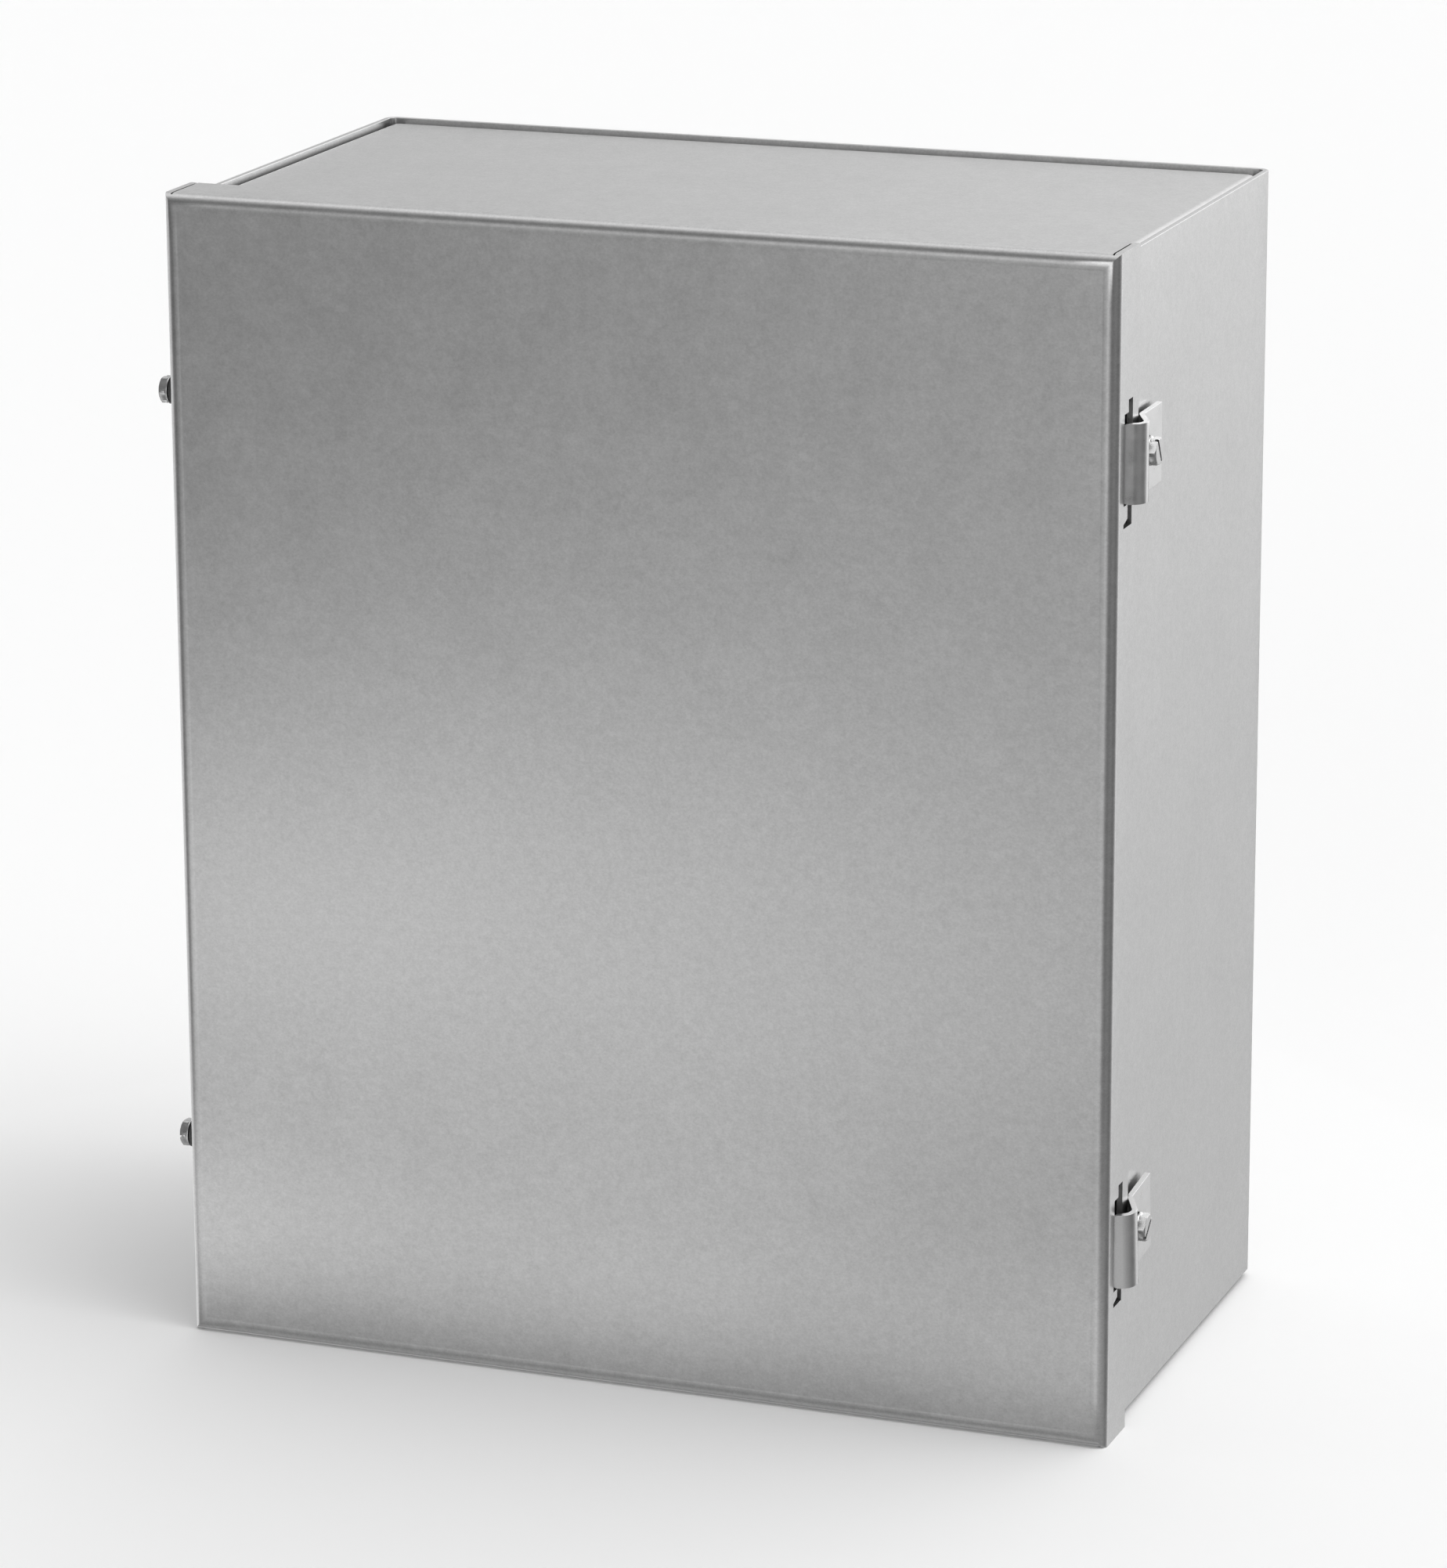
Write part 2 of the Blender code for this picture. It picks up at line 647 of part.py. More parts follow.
def make_body_earth():
    """Earth stud on the back wall with its lock washer and nut."""
    base = BACK_Y - SHEET - GAP
    x, z = BODY_EARTH_X, BODY_EARTH_HEIGHT
    profile = [
        (STUD_COLLAR_RADIUS, 0.0), (STUD_COLLAR_RADIUS, SHEET), (STUD_RADIUS, SHEET),
        (STUD_RADIUS, EARTH_STUD_LENGTH)]
    turned("body_earth_stud", profile, (0, -1, 0), (x, base, z), "brass")
    washer_y = base - SHEET - GAP - LOCK_WASHER
    make_washer(
        "body_earth_washer", x, washer_y, z, LOCK_WASHER, LOCK_WASHER_RADIUS, "zinc_clamp")
    make_nut("body_earth_nut", x, washer_y - GAP, z, "brass")


def make_cover_earth():
    """Earth stud inside the cover with its lock washer and nut, pointing back."""
    base = FRONT_Y + SHEET + GAP
    x, z = COVER_EARTH_X, COVER_EARTH_HEIGHT
    profile = [
        (STUD_COLLAR_RADIUS, 0.0), (STUD_COLLAR_RADIUS, SHEET), (STUD_RADIUS, SHEET),
        (STUD_RADIUS, EARTH_STUD_LENGTH)]
    turned("cover_earth_stud", profile, (0, 1, 0), (x, base, z), "brass")
    washer_y = base + SHEET + GAP
    make_washer(
        "cover_earth_washer", x, washer_y, z, LOCK_WASHER, LOCK_WASHER_RADIUS, "zinc_clamp")
    make_nut("cover_earth_nut", x, washer_y + LOCK_WASHER + GAP + NUT_HEIGHT, z, "brass")


def build():
    """Build the whole cabinet."""
    clear_scene()
    make_body_wrap()
    make_end_panel("top_panel", True)
    make_end_panel("bottom_panel", False)
    make_cover()
    make_gasket()
    for level, height in FASTENER_HEIGHTS.items():
        make_clamp_fastening(level, height)
        make_retaining_fastening(level, height)
    make_equipment_plate()
    make_plate_fixings()
    make_body_earth()
    make_cover_earth()


build()
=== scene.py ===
"""Looks of the switchboard cabinet: detailed metalwork, fasteners, materials, room and camera."""
import json
import math

import bmesh
import bpy
from mathutils import Matrix, Vector, noise


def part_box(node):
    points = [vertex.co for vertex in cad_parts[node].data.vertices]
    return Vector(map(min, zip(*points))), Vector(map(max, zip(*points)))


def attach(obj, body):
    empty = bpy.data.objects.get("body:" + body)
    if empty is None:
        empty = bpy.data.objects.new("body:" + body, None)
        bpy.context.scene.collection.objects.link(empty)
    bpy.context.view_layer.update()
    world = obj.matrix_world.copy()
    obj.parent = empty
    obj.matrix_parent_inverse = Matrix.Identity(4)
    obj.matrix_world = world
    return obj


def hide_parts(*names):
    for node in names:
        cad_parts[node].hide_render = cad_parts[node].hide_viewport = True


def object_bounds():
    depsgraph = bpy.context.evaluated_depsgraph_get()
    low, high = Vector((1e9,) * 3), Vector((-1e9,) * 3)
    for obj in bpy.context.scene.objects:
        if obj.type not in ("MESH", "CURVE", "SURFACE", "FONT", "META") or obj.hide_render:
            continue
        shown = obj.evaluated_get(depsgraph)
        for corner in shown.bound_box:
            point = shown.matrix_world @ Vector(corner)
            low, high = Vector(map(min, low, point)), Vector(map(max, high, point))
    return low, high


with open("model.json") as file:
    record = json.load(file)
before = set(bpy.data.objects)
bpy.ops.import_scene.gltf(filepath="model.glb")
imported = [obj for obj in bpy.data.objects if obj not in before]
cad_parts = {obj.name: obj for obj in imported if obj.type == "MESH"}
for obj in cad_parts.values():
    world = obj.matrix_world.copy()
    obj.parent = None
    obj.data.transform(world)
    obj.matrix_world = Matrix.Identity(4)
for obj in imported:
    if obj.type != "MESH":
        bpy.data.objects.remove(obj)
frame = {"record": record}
cad_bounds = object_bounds()

MM = 0.001
LEVELS = ("upper", "lower")

# Sheet metal, in metres
SHEET = 1.5 * MM
COVER_RADIUS = 3.0 * MM
BODY_RADIUS = 3.0 * MM
BEND_STEPS = 8
ARC_STEPS = 16
MARK_INSET = 4.1 * MM
MARK_HALF_WIDTH = 0.22 * MM
MARK_SINK = 0.05 * MM
WAVE_SIZE = 0.11
WAVE_HEIGHT = 0.12 * MM
WAVE_FADE = 80 * MM

# Faces across and up the flat of each folded pan
COVER_GRID = (26, 30)
PANEL_GRID = (24, 14)

# Rounding of cut edges
PAN_EDGE = 0.10 * MM
WRAP_EDGE = 0.12 * MM
CLAMP_EDGE = 0.18 * MM
PLATE_EDGE = 0.20 * MM
SCREW_EDGE = 0.06 * MM

# Cover openings, from the cover's front face and the screw heights
SLOT_FRONT = 9.2 * MM
SLOT_REAR = 12.6 * MM
SLOT_HALF_HEIGHT = 15.7 * MM
NOTCH_FRONT = 6.0 * MM
NOTCH_RISE = 12.6 * MM
NOTCH_DROP = {"upper": 10.15 * MM, "lower": 11.6 * MM}
TAIL_HEIGHT = 1.0 * MM
OPEN_SLOT_HALF = 2.4 * MM
SEAM_WIDTH = 0.45 * MM
SEAM_GAP = 0.3 * MM
SEAM_START = 0.55 * COVER_RADIUS

# Body wrap with its holes, and the end panels between its walls
WALL_LIP = 12.0 * MM
LIP_GAP = 0.3 * MM
PANEL_NOTCH = 3.0 * MM
WRAP_SPACING = 9.0 * MM
WRAP_ROWS = 32
RIVET_HOLE_RADIUS = 3.3 * MM
RETAINING_HOLE_RADIUS = 2.2 * MM
WALL_HOLE_RADIUS = 3.5 * MM
WALL_HOLE_REACH = 105 * MM
WALL_HOLE_LEVELS = (20 * MM, 284 * MM)

# Hook clamp
CLAMP_SHEET = 1.4 * MM
HOOK_SLANT = 1.9 * MM
NOSE_BEND = 3.4 * MM
NOSE_END = 12.8 * MM
CLAMP_BEND = 2.8 * MM
CLAMP_HALF_HEIGHT = 10.0 * MM
HOOK_CORNER = 2.4 * MM
HOOK_DEPTH = 7.0 * MM
PLATE_START = 20.5 * MM
CLAMP_SLOT_HALF = 3.75 * MM
CLAMP_SLOT_RADIUS = 2.3 * MM
CLAMP_TURN = {"upper": 0.0, "lower": 5.0}
CLAMP_PROUD = 0.5 * MM
CLAMP_SPACING = 3.0 * MM
CLAMP_ROWS = 10

# Wall pocket behind each clamp
POCKET_DEPTH = 20.7 * MM
POCKET_RADIUS = 3.2 * MM
POCKET_RISE = 12.2 * MM
POCKET_LENGTH = 7.0 * MM
POCKET_SINK = 0.7 * MM

# Fasteners
M4_MAJOR = 1.95 * MM
M4_PITCH = 0.7 * MM
M6_MAJOR = 2.98 * MM
M6_PITCH = 1.0 * MM
THREAD_DEPTH = 0.55
NECK_SHARE = 0.88
CORE_SHARE = 0.86
TIP_SHARE = 0.72
HEAD_FLANGE = 0.8 * MM
HEAD_FLATS = 6.4 * MM
HEXAGON_HEIGHT = 1.8 * MM
HEAD_SLOT_WIDTH = 0.9 * MM
HEAD_SLOT_DEPTH = 0.8 * MM
CLAMP_THREAD = 11.4 * MM
RETAINING_THREAD = 11.6 * MM
CLAMP_HEAD_TURN = {"upper": 28.0, "lower": -50.0}
RETAINING_HEAD_TURN = {"upper": 20.0, "lower": 84.0}
CHAMFER_SLOPE = 0.62
CHAMFER_FACE = 0.95
BORE_CHAMFER = 0.45 * MM
M4_BORE = 2.15 * MM
M6_BORE = 3.1 * MM
M6_FLATS = 10 * MM
M6_WASHER_BORE = 3.2 * MM
WELD_FLATS = 6.0 * MM
WELD_BORE = 2.05 * MM
SEAL_SOFT = 0.3 * MM
PLATE_WASHER_SOFT = 0.15 * MM
EARTH_WASHER_SOFT = 0.12 * MM
COLLAR_RADIUS = 5.5 * MM
PLATE_COLLAR = 12 * MM
TEETH = 12
TOOTH_DEPTH = 0.7 * MM
RIVET_FLANGE = 0.5 * MM
RIVET_BARREL = 3.0 * MM
RIVET_LEAD = 0.3 * MM

# Washer face under a screw's hexagon: inset and height of its outline's points, in mm
FLANGE_OUTLINE = ((0.2, 0.0), (0.0, 0.15), (0.0, 0.45), (0.12, 0.62), (0.35, 0.74))

# Equipment plate
PLATE_CORNER = 5 * MM
PLATE_HOLE_RADIUS = 3.4 * MM
RAIL_HOLE_RADIUS = 2.2 * MM
RAIL_HOLE_REACH = 60 * MM

# Gasket strip
GASKET_WIDTH = 9.5 * MM
GASKET_SOFT = 0.55 * MM
GASKET_STEPS = 24

# Painted shade: colour darkened in gaps, slots and recesses where little light reaches
PAINTED_SHADE_REACH = 2.4 * MM
PAINTED_SHADE_DARKEST = 0.22
FASTENER_PAINTED_SHADE_DARKEST = 0.5

# Colour sockets of a Mix node
MIX_FIRST, MIX_SECOND, MIX_RESULT = 6, 7, 2

# Camera and room
CAMERA_AZIMUTH = 20.8
CAMERA_ELEVATION = 15.49
CAMERA_ROLL = -0.25
CAMERA_DISTANCE = 1.653
CAMERA_AIM = (-0.0016, 0.0, 0.1435)
CAMERA_LENS = 145.1
ROOM_REACH = 8.0
ROOM_RISE = 2.5
ROOM_SIDES = 96
ROOM_LIGHT = 0.15
REFLECTOR_LEVEL = -2 * MM
REFLECTOR_REACH = 1.2

# Soft cards round the object: azimuth and elevation in degrees, tightness, strength
CARDS = (
    (150, 8, 24, 3.0), (150, -28, 24, 0.85), (180, 30, 12, 1.35), (-110, 62, 10, 1.0),
    (90, 60, 12, 4.1), (-140, -18, 12, 1.3), (0, 8, 24, 2.1), (0, -75, 12, 0.4),
    (-95, -15, 24, 0.9), (70, -15, 12, 0.12))

# Glows on the floor in front: place, spread across and along, strength
GLOWS = (
    ((-0.19, -0.15), (0.063, 0.043), 0.85), ((-0.03, -0.15), (0.063, 0.043), 0.5),
    ((0.13, -0.15), (0.063, 0.043), 0.5), ((-0.07, -0.27), (0.082, 0.062), 0.28),
    ((-0.31, -0.42), (0.106, 0.086), 1.1), ((-0.13, -0.42), (0.106, 0.086), 0.3),
    ((0.05, -0.42), (0.106, 0.086), 0.4), ((-0.2, -0.62), (0.138, 0.118), 0.5))

COVER_LOW, COVER_HIGH = (Vector(corner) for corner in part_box("cover"))
WRAP_LOW, WRAP_HIGH = (Vector(corner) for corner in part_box("body_wrap"))
FRONT_Y = COVER_LOW.y


def middle(node):
    """Centre of a CAD node's box."""
    low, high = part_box(node)
    return (Vector(low) + Vector(high)) / 2


SCREW_Z = {level: middle(f"clamp_screw_{level}").z for level in LEVELS}
CLAMP_SCREW_Y = middle("clamp_screw_upper").y
RETAINING_SCREW_Y = middle("retaining_screw_upper").y


# ---------------------------------------------------------------- mesh helpers

def shade(mesh, sharp=35.0):
    """Shade a mesh smooth, up to edges sharper than an angle in degrees."""
    mesh.shade_smooth()
    mesh.set_sharp_from_angle(angle=math.radians(sharp))


def finish_mesh(name, bm, sharp=35.0):
    """Turn a bmesh into a smooth-shaded object with clean outward normals."""
    bmesh.ops.recalc_face_normals(bm, faces=bm.faces)
    mesh = bpy.data.meshes.new(name)
    bm.to_mesh(mesh)
    bm.free()
    piece = bpy.data.objects.new(name, mesh)
    bpy.context.scene.collection.objects.link(piece)
    shade(mesh, sharp)
    return piece


def bake(piece):
    """Replace a piece's mesh by what its modifiers make of it."""
    evaluated = piece.evaluated_get(bpy.context.evaluated_depsgraph_get())
    mesh = bpy.data.meshes.new_from_object(evaluated)
    piece.modifiers.clear()
    old = piece.data
    piece.data = mesh
    mesh.name = piece.name
    bpy.data.meshes.remove(old)


def cut(piece, bm):
    """Cut a closed bmesh out of a piece."""
    cutter = finish_mesh("cutter", bm)
    modifier = piece.modifiers.new("cut", "BOOLEAN")
    modifier.operation = "DIFFERENCE"
    modifier.solver = "EXACT"
    modifier.object = cutter
    bake(piece)
    shade(piece.data)
    bpy.data.objects.remove(cutter, do_unlink=True)


def round_edges(piece, width, segments=1, angle=40.0):
    """Break a piece's sharp edges with a small bevel."""
    modifier = piece.modifiers.new("round", "BEVEL")
    modifier.width = width
    modifier.segments = segments
    modifier.limit_method = "ANGLE"
    modifier.angle_limit = math.radians(angle)
    modifier.use_clamp_overlap = True
    modifier.harden_normals = False
    bake(piece)
    shade(piece.data, 50.0)


def even_shading(piece):
    """Keep flat faces evenly shaded right up to the small rounding of their edges."""
    modifier = piece.modifiers.new("even", "WEIGHTED_NORMAL")
    modifier.mode = "FACE_AREA"
    modifier.weight = 50
    modifier.keep_sharp = True
    bake(piece)


def box_mesh(low, high):
    """A box between two corners."""
    low, high = Vector(low), Vector(high)
    bm = bmesh.new()
    matrix = Matrix.Translation((low + high) / 2) @ Matrix.Diagonal((*(high - low), 1.0))
    bmesh.ops.create_cube(bm, size=1.0, matrix=matrix)
    return bm


def rod_mesh(radius, start, end, sides=40):
    """A closed cylinder between two points."""
    start, end = Vector(start), Vector(end)
    axis = end - start
    turn = Vector((0, 0, 1)).rotation_difference(axis).to_matrix().to_4x4()
    bm = bmesh.new()
    bmesh.ops.create_cone(
        bm, cap_ends=True, segments=sides, radius1=radius, radius2=radius,
        depth=axis.length, matrix=Matrix.Translation((start + end) / 2) @ turn)
    return bm


def prism_mesh(outline, place, start, end):
    """A prism from an outline; place(u, v, w) gives the point for outline spot (u, v), height w."""
    bm = bmesh.new()
    rings = [[bm.verts.new(place(u, v, w)) for u, v in outline] for w in (start, end)]
    bm.faces.new(rings[0])
    bm.faces.new(rings[1][::-1])
    band_faces(bm, *rings)
    return bm


def band_faces(bm, first, second):
    """Quads between two closed loops of vertices."""
    count = len(first)
    for index in range(count):
        after = (index + 1) % count
        bm.faces.new((first[index], first[after], second[after], second[index]))


def grid_faces(bm, rows):
    """Quads between neighbouring open rows of vertices."""
    for first, second in zip(rows, rows[1:]):
        for index in range(len(first) - 1):
            bm.faces.new((first[index], first[index + 1], second[index + 1], second[index]))


def arc(centre, radius, start, turn, steps=ARC_STEPS):
    """Points along an arc, from its start angle through its turn."""
    points = []
    for step in range(steps + 1):
        angle = start + turn * step / steps
        points.append((
            centre[0] + radius * math.cos(angle), centre[1] + radius * math.sin(angle)))
    return points


def rounded_section(width, height, radius, steps=4):
    """Outline of a rectangle with rounded corners, from (0, 0) to (width, height)."""
    corners = (
        (width - radius, height - radius), (radius, height - radius),
        (radius, radius), (width - radius, radius))
    outline = []
    for quarter, corner in enumerate(corners):
        outline += arc(corner, radius, math.pi / 2 * quarter, math.pi / 2, steps)
    return outline


def wave(point, seed):
    """A slow waviness of hand-sized patches, from 0 to 1."""
    spot = Vector(point) / WAVE_SIZE + Vector((seed, 0.37 * seed, -seed))
    return 0.5 + 0.5 * noise.noise(spot)


def soften(share):
    """A smooth step from 0 to 1."""
    share = max(0.0, min(1.0, share))
    return share * share * (3 - 2 * share)


# ---------------------------------------------------------------- sheet pans

def side_steps(count):
    """Positions from -1 to 1 along a pan's side, used by every ring and by the face grid."""
    return [-1 + 2 * index / count for index in range(count + 1)]


def ring_spots(half_width, half_height, columns, rows):
    """Points round a rectangle, corner to corner, counter-clockwise from the low left."""
    across, up = side_steps(columns), side_steps(rows)
    spots = [(x * half_width, -half_height) for x in across[:-1]]
    spots += [(half_width, z * half_height) for z in up[:-1]]
    spots += [(x * half_width, half_height) for x in across[:0:-1]]
    spots += [(-half_width, z * half_height) for z in up[:0:-1]]
    return spots


def pan_rings(radius, flange, marks):
    """(inset, depth) of each ring from the flange's rear edge round the bend to the face."""
    rings = [(0.0, flange), (0.0, flange - 0.25 * MM), (0.0, (flange + radius) / 2)]
    for step in range(BEND_STEPS + 1):
        angle = math.pi / 2 * step / BEND_STEPS
        rings.append((radius * (1 - math.cos(angle)), radius * (1 - math.sin(angle))))
    if marks:
        rings += [
            (MARK_INSET - MARK_HALF_WIDTH, 0.0),
            (MARK_INSET, MARK_SINK),
            (MARK_INSET + MARK_HALF_WIDTH, 0.0)]
    return rings


def make_pan(name, size, flange, radius, place, marks, seed, grid_size):
    """A shallow pan folded from sheet.

    It is built round its face's middle: place(u, v, depth) puts a point u across, v up and depth
    behind the face into the row frame.
    """
    bm = bmesh.new()
    columns, rows = grid_size
    rims = []
    for shrink in (0.0, SHEET):
        half_width = size[0] / 2 - shrink
        half_height = size[1] / 2 - shrink
        profile = pan_rings(radius - shrink, flange - shrink, marks)
        rings = []
        for inset, depth in profile:
            spots = ring_spots(half_width - inset, half_height - inset, columns, rows)
            rings.append([(u, v, depth + shrink) for u, v in spots])
        face_inset = profile[-1][0]
        width, height = half_width - face_inset, half_height - face_inset
        grid = [
            [(u * width, v * height, shrink) for u in side_steps(columns)]
            for v in side_steps(rows)]
        rims.append(add_pan_shell(bm, rings, grid, place, seed))
    band_faces(bm, *rims)
    return finish_mesh(name, bm)


def sink_spot(u, v, depth, width, height, seed):
    """Depth with the sheet's slow waviness added, fading out towards the bends."""
    edge = min(width - abs(u), height - abs(v))
    fade = soften(edge / WAVE_FADE)
    return depth + WAVE_HEIGHT * fade * wave((u, seed * 0.1, v), seed)


def add_pan_shell(bm, rings, grid, place, seed):
    """Add one side of a pan and return its rim's vertices."""
    loops = [[bm.verts.new(place(*spot)) for spot in ring] for ring in rings[:-1]]
    width, height = grid[0][-1][0], grid[-1][0][1]
    table = [
        [bm.verts.new(place(u, v, sink_spot(u, v, depth, width, height, seed)))
         for u, v, depth in row]
        for row in grid]
    border = table[0][:-1] + [row[-1] for row in table[:-1]]
    border += table[-1][:0:-1] + [row[0] for row in table[:0:-1]]
    loops.append(border)
    for first, second in zip(loops, loops[1:]):
        band_faces(bm, first, second)
    grid_faces(bm, table)
    return loops[0]


# ---------------------------------------------------------------- folded strips

def fillet(before, corner, after, radius, steps):
    """Points and headings along the arc that rounds one corner of a path."""
    into = (corner - before).normalized()
    out = (after - corner).normalized()
    turn = math.atan2(into.x * out.y - into.y * out.x, into.dot(out))
    start = corner - into * radius * abs(math.tan(turn / 2))
    side = Vector((-into.y, into.x)) * (1 if turn > 0 else -1)
    centre = start + side * radius
    points = []
    for step in range(steps + 1):
        rotation = Matrix.Rotation(turn * step / steps, 2)
        points.append((centre + rotation @ (-side * radius), rotation @ into))
    return points


def strip_sides(path, radii, thickness, spacing):
    """Left and right edge points of a folded strip, with extra points along its straight runs."""
    path = [Vector(point) for point in path]
    line = [(path[0], (path[1] - path[0]).normalized())]
    for before, corner, after, radius in zip(path, path[1:], path[2:], radii):
        bend = fillet(before, corner, after, radius, BEND_STEPS)
        line += straight_run(line[-1][0], bend[0][0], spacing) + bend
    line += straight_run(line[-1][0], path[-1], spacing)
    line.append((path[-1], (path[-1] - path[-2]).normalized()))
    left, right = [], []
    for point, heading in line:
        normal = Vector((-heading.y, heading.x)) * thickness / 2
        left.append(point + normal)
        right.append(point - normal)
    return left, right


def straight_run(start, end, spacing):
    """Evenly spaced points between two points, without either of them."""
    run = end - start
    count = int(run.length / spacing)
    return [(start + run * index / (count + 1), run.normalized()) for index in range(1, count + 1)]


def make_strip(name, path, radii, thickness, low_z, high_z, spacing, rows, sink=None):
    """A folded strip of sheet standing upright, as an even grid of quads."""
    bm = bmesh.new()
    levels = [low_z + (high_z - low_z) * row / rows for row in range(rows + 1)]
    tables = [
        [[bm.verts.new((*(sink(point, z) if sink else point), z)) for point in side]
         for z in levels]
        for side in strip_sides(path, radii, thickness, spacing)]
    for table in tables:
        grid_faces(bm, table)
    for end in (0, -1):
        grid_faces(bm, [table[end] for table in tables])
    for end in (0, -1):
        grid_faces(bm, [[row[end] for row in table] for table in tables])
    return finish_mesh(name, bm)


# ---------------------------------------------------------------- turned and hexagon pieces

def hexagon_reach(angle, flats):
    """Distance from a hexagon's middle to its side at an angle."""
    within = (angle + math.pi / 6) % (math.pi / 3) - math.pi / 6
    return flats / 2 / math.cos(within)


def axis_matrix(axis, place):
    """Matrix that carries +Z to an axis, at a place."""
    turn = Vector((0, 0, 1)).rotation_difference(Vector(axis)).to_matrix().to_4x4()
    return Matrix.Translation(place) @ turn


def axis_span(node, axis):
    """Foot, length and radius of a round CAD node lying along a level axis."""
    low, high = (Vector(corner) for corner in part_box(node))
    outward = Vector(axis)
    span = abs((high - low).dot(outward))
    return (low + high) / 2 - outward * span / 2, span, (high - low).z / 2


def turned_mesh(rings, axis, place, sides=48, closed_ends=True):
    """A turned body from (reach, height) rings; a reach may be a function of the angle."""
    bm = bmesh.new()
    matrix = axis_matrix(axis, place)
    loops = []
    for reach, height in rings:
        loop = []
        for index in range(sides):
            angle = 2 * math.pi * index / sides
            radius = reach(angle) if callable(reach) else reach
            spot = Vector((radius * math.cos(angle), radius * math.sin(angle), height))
            loop.append(bm.verts.new(matrix @ spot))
        loops.append(loop)
    if not closed_ends:
        loops.append(loops[0])
    for lower, upper in zip(loops, loops[1:]):
        band_faces(bm, lower, upper)
    if closed_ends:
        bm.faces.new(loops[0][::-1])
        bm.faces.new(loops[-1])
    return bm


def thread_rings(major, pitch, start, end, taper=0.0):
    """Rings of a threaded shank from start to end, whose first turn tapers off."""
    depth = THREAD_DEPTH * pitch
    step = pitch / 8
    count = int(round((end - start) / step))
    rings = []
    for index in range(count + 1):
        height = start + (end - start) * index / count
        point = min(1.0, 0.35 + 0.65 * (height - start) / taper) if taper else 1.0

        def reach(angle, height=height, point=point):
            phase = (height / pitch - angle / (2 * math.pi)) % 1.0
            ridge = 1 - abs(2 * phase - 1)
            ridge = min(1.0, max(0.0, (ridge - 0.12) / 0.62))
            return (major - depth * (1 - ridge)) * (0.82 + 0.18 * point)

        rings.append((reach, height))
    return rings


def hexagon_rings(flats, low, high, chamfered_foot):
    """Rings of a hexagon whose corners are turned off at its top, and at its foot if asked."""
    half = flats / 2
    extra = half / math.cos(math.pi / 6) - half
    slope = extra * CHAMFER_SLOPE

    def ring(share, height):
        limit = half + extra * share
        return (lambda angle: min(hexagon_reach(angle, flats), limit), height)

    steps = [index / 5 for index in range(6)]
    if chamfered_foot:
        rings = [(half * CHAMFER_FACE, low)]
        rings += [ring(step, low + slope * step) for step in steps]
    else:
        rings = [ring(1.0, low)]
    rings += [ring(1 - step, high - slope + slope * step) for step in steps]
    rings.append((half * CHAMFER_FACE, high))
    return rings


def bore_rings(bore, groove, high, low, count):
    """Rings down a threaded bore, every second one wider by the groove."""
    return [
        (bore + groove * (index % 2), high - (high - low) * index / count)
        for index in range(count + 1)]


def make_screw(name, node, axis, threaded, head_turn):
    """A slotted hexagon screw with a washer face, standing where its CAD node stands."""
    tip, span, flange_radius = axis_span(node, axis)
    head_base = span - HEAD_FLANGE - HEXAGON_HEIGHT
    neck = M4_MAJOR * NECK_SHARE
    rings = thread_rings(M4_MAJOR, M4_PITCH, 0.0, threaded, 0.8 * MM)
    rings += [(neck, threaded + 0.1 * MM), (neck, head_base - 0.2 * MM), (M4_MAJOR, head_base)]
    rings += [
        (flange_radius - inset * MM, head_base + height * MM) for inset, height in FLANGE_OUTLINE]
    rings += hexagon_rings(HEAD_FLATS, head_base + HEAD_FLANGE, span, False)
    screw = finish_mesh(name, turned_mesh(rings, axis, tip, 72), 30.0)
    slot = box_mesh(
        (-5 * MM, -HEAD_SLOT_WIDTH / 2, -HEAD_SLOT_DEPTH), (5 * MM, HEAD_SLOT_WIDTH / 2, MM))
    top = tip + Vector(axis) * span
    slot.transform(axis_matrix(axis, top) @ Matrix.Rotation(math.radians(head_turn), 4, "Z"))
    cut(screw, slot)
    round_edges(screw, SCREW_EDGE, angle=50.0)
    stand_for(screw, node)


def make_nut(name, node, axis, flats, bore):
    """A hexagon nut with turned corners and a chamfered, threaded bore."""
    base, span, _ = axis_span(node, axis)
    rings = hexagon_rings(flats, 0.0, span, True)
    rings.append((bore + BORE_CHAMFER, span))
    rings += bore_rings(bore, 0.16 * MM, span - BORE_CHAMFER, BORE_CHAMFER, 12)
    rings.append((bore + BORE_CHAMFER, 0.0))
    stand_for(finish_mesh(name, turned_mesh(rings, axis, base, 60, False), 28.0), node)


def make_stud(name, node, axis, collar_length):
    """A threaded stud with a round collar at its welded end."""
    base, span, _ = axis_span(node, axis)
    soft = 0.25 * MM
    core = M6_MAJOR * CORE_SHARE
    rings = [
        (COLLAR_RADIUS - soft, 0.0), (COLLAR_RADIUS, soft), (COLLAR_RADIUS, collar_length - soft),
        (COLLAR_RADIUS - soft, collar_length), (core, collar_length),
        (core, collar_length + 0.5 * MM)]
    rings += thread_rings(M6_MAJOR, M6_PITCH, collar_length + 0.6 * MM, span - 0.7 * MM)
    rings += [(core, span - 0.35 * MM), (M6_MAJOR * TIP_SHARE, span)]
    stand_for(finish_mesh(name, turned_mesh(rings, axis, base), 30.0), node)


def make_ring(name, node, axis, bore, soft, serrated=False):
    """A washer with softened rims, its outer rim toothed for an earth terminal."""
    base, span, radius = axis_span(node, axis)

    def rim(angle):
        return radius - (TOOTH_DEPTH if serrated and math.sin(TEETH * angle) > 0 else 0.0)

    def near_rim(angle):
        return rim(angle) - soft

    rings = [
        (bore + soft, 0.0), (near_rim, 0.0), (rim, soft), (rim, span - soft),
        (near_rim, span), (bore + soft, span), (bore, span - soft), (bore, soft)]
    stand_for(finish_mesh(name, turned_mesh(rings, axis, base, 96, False)), node)


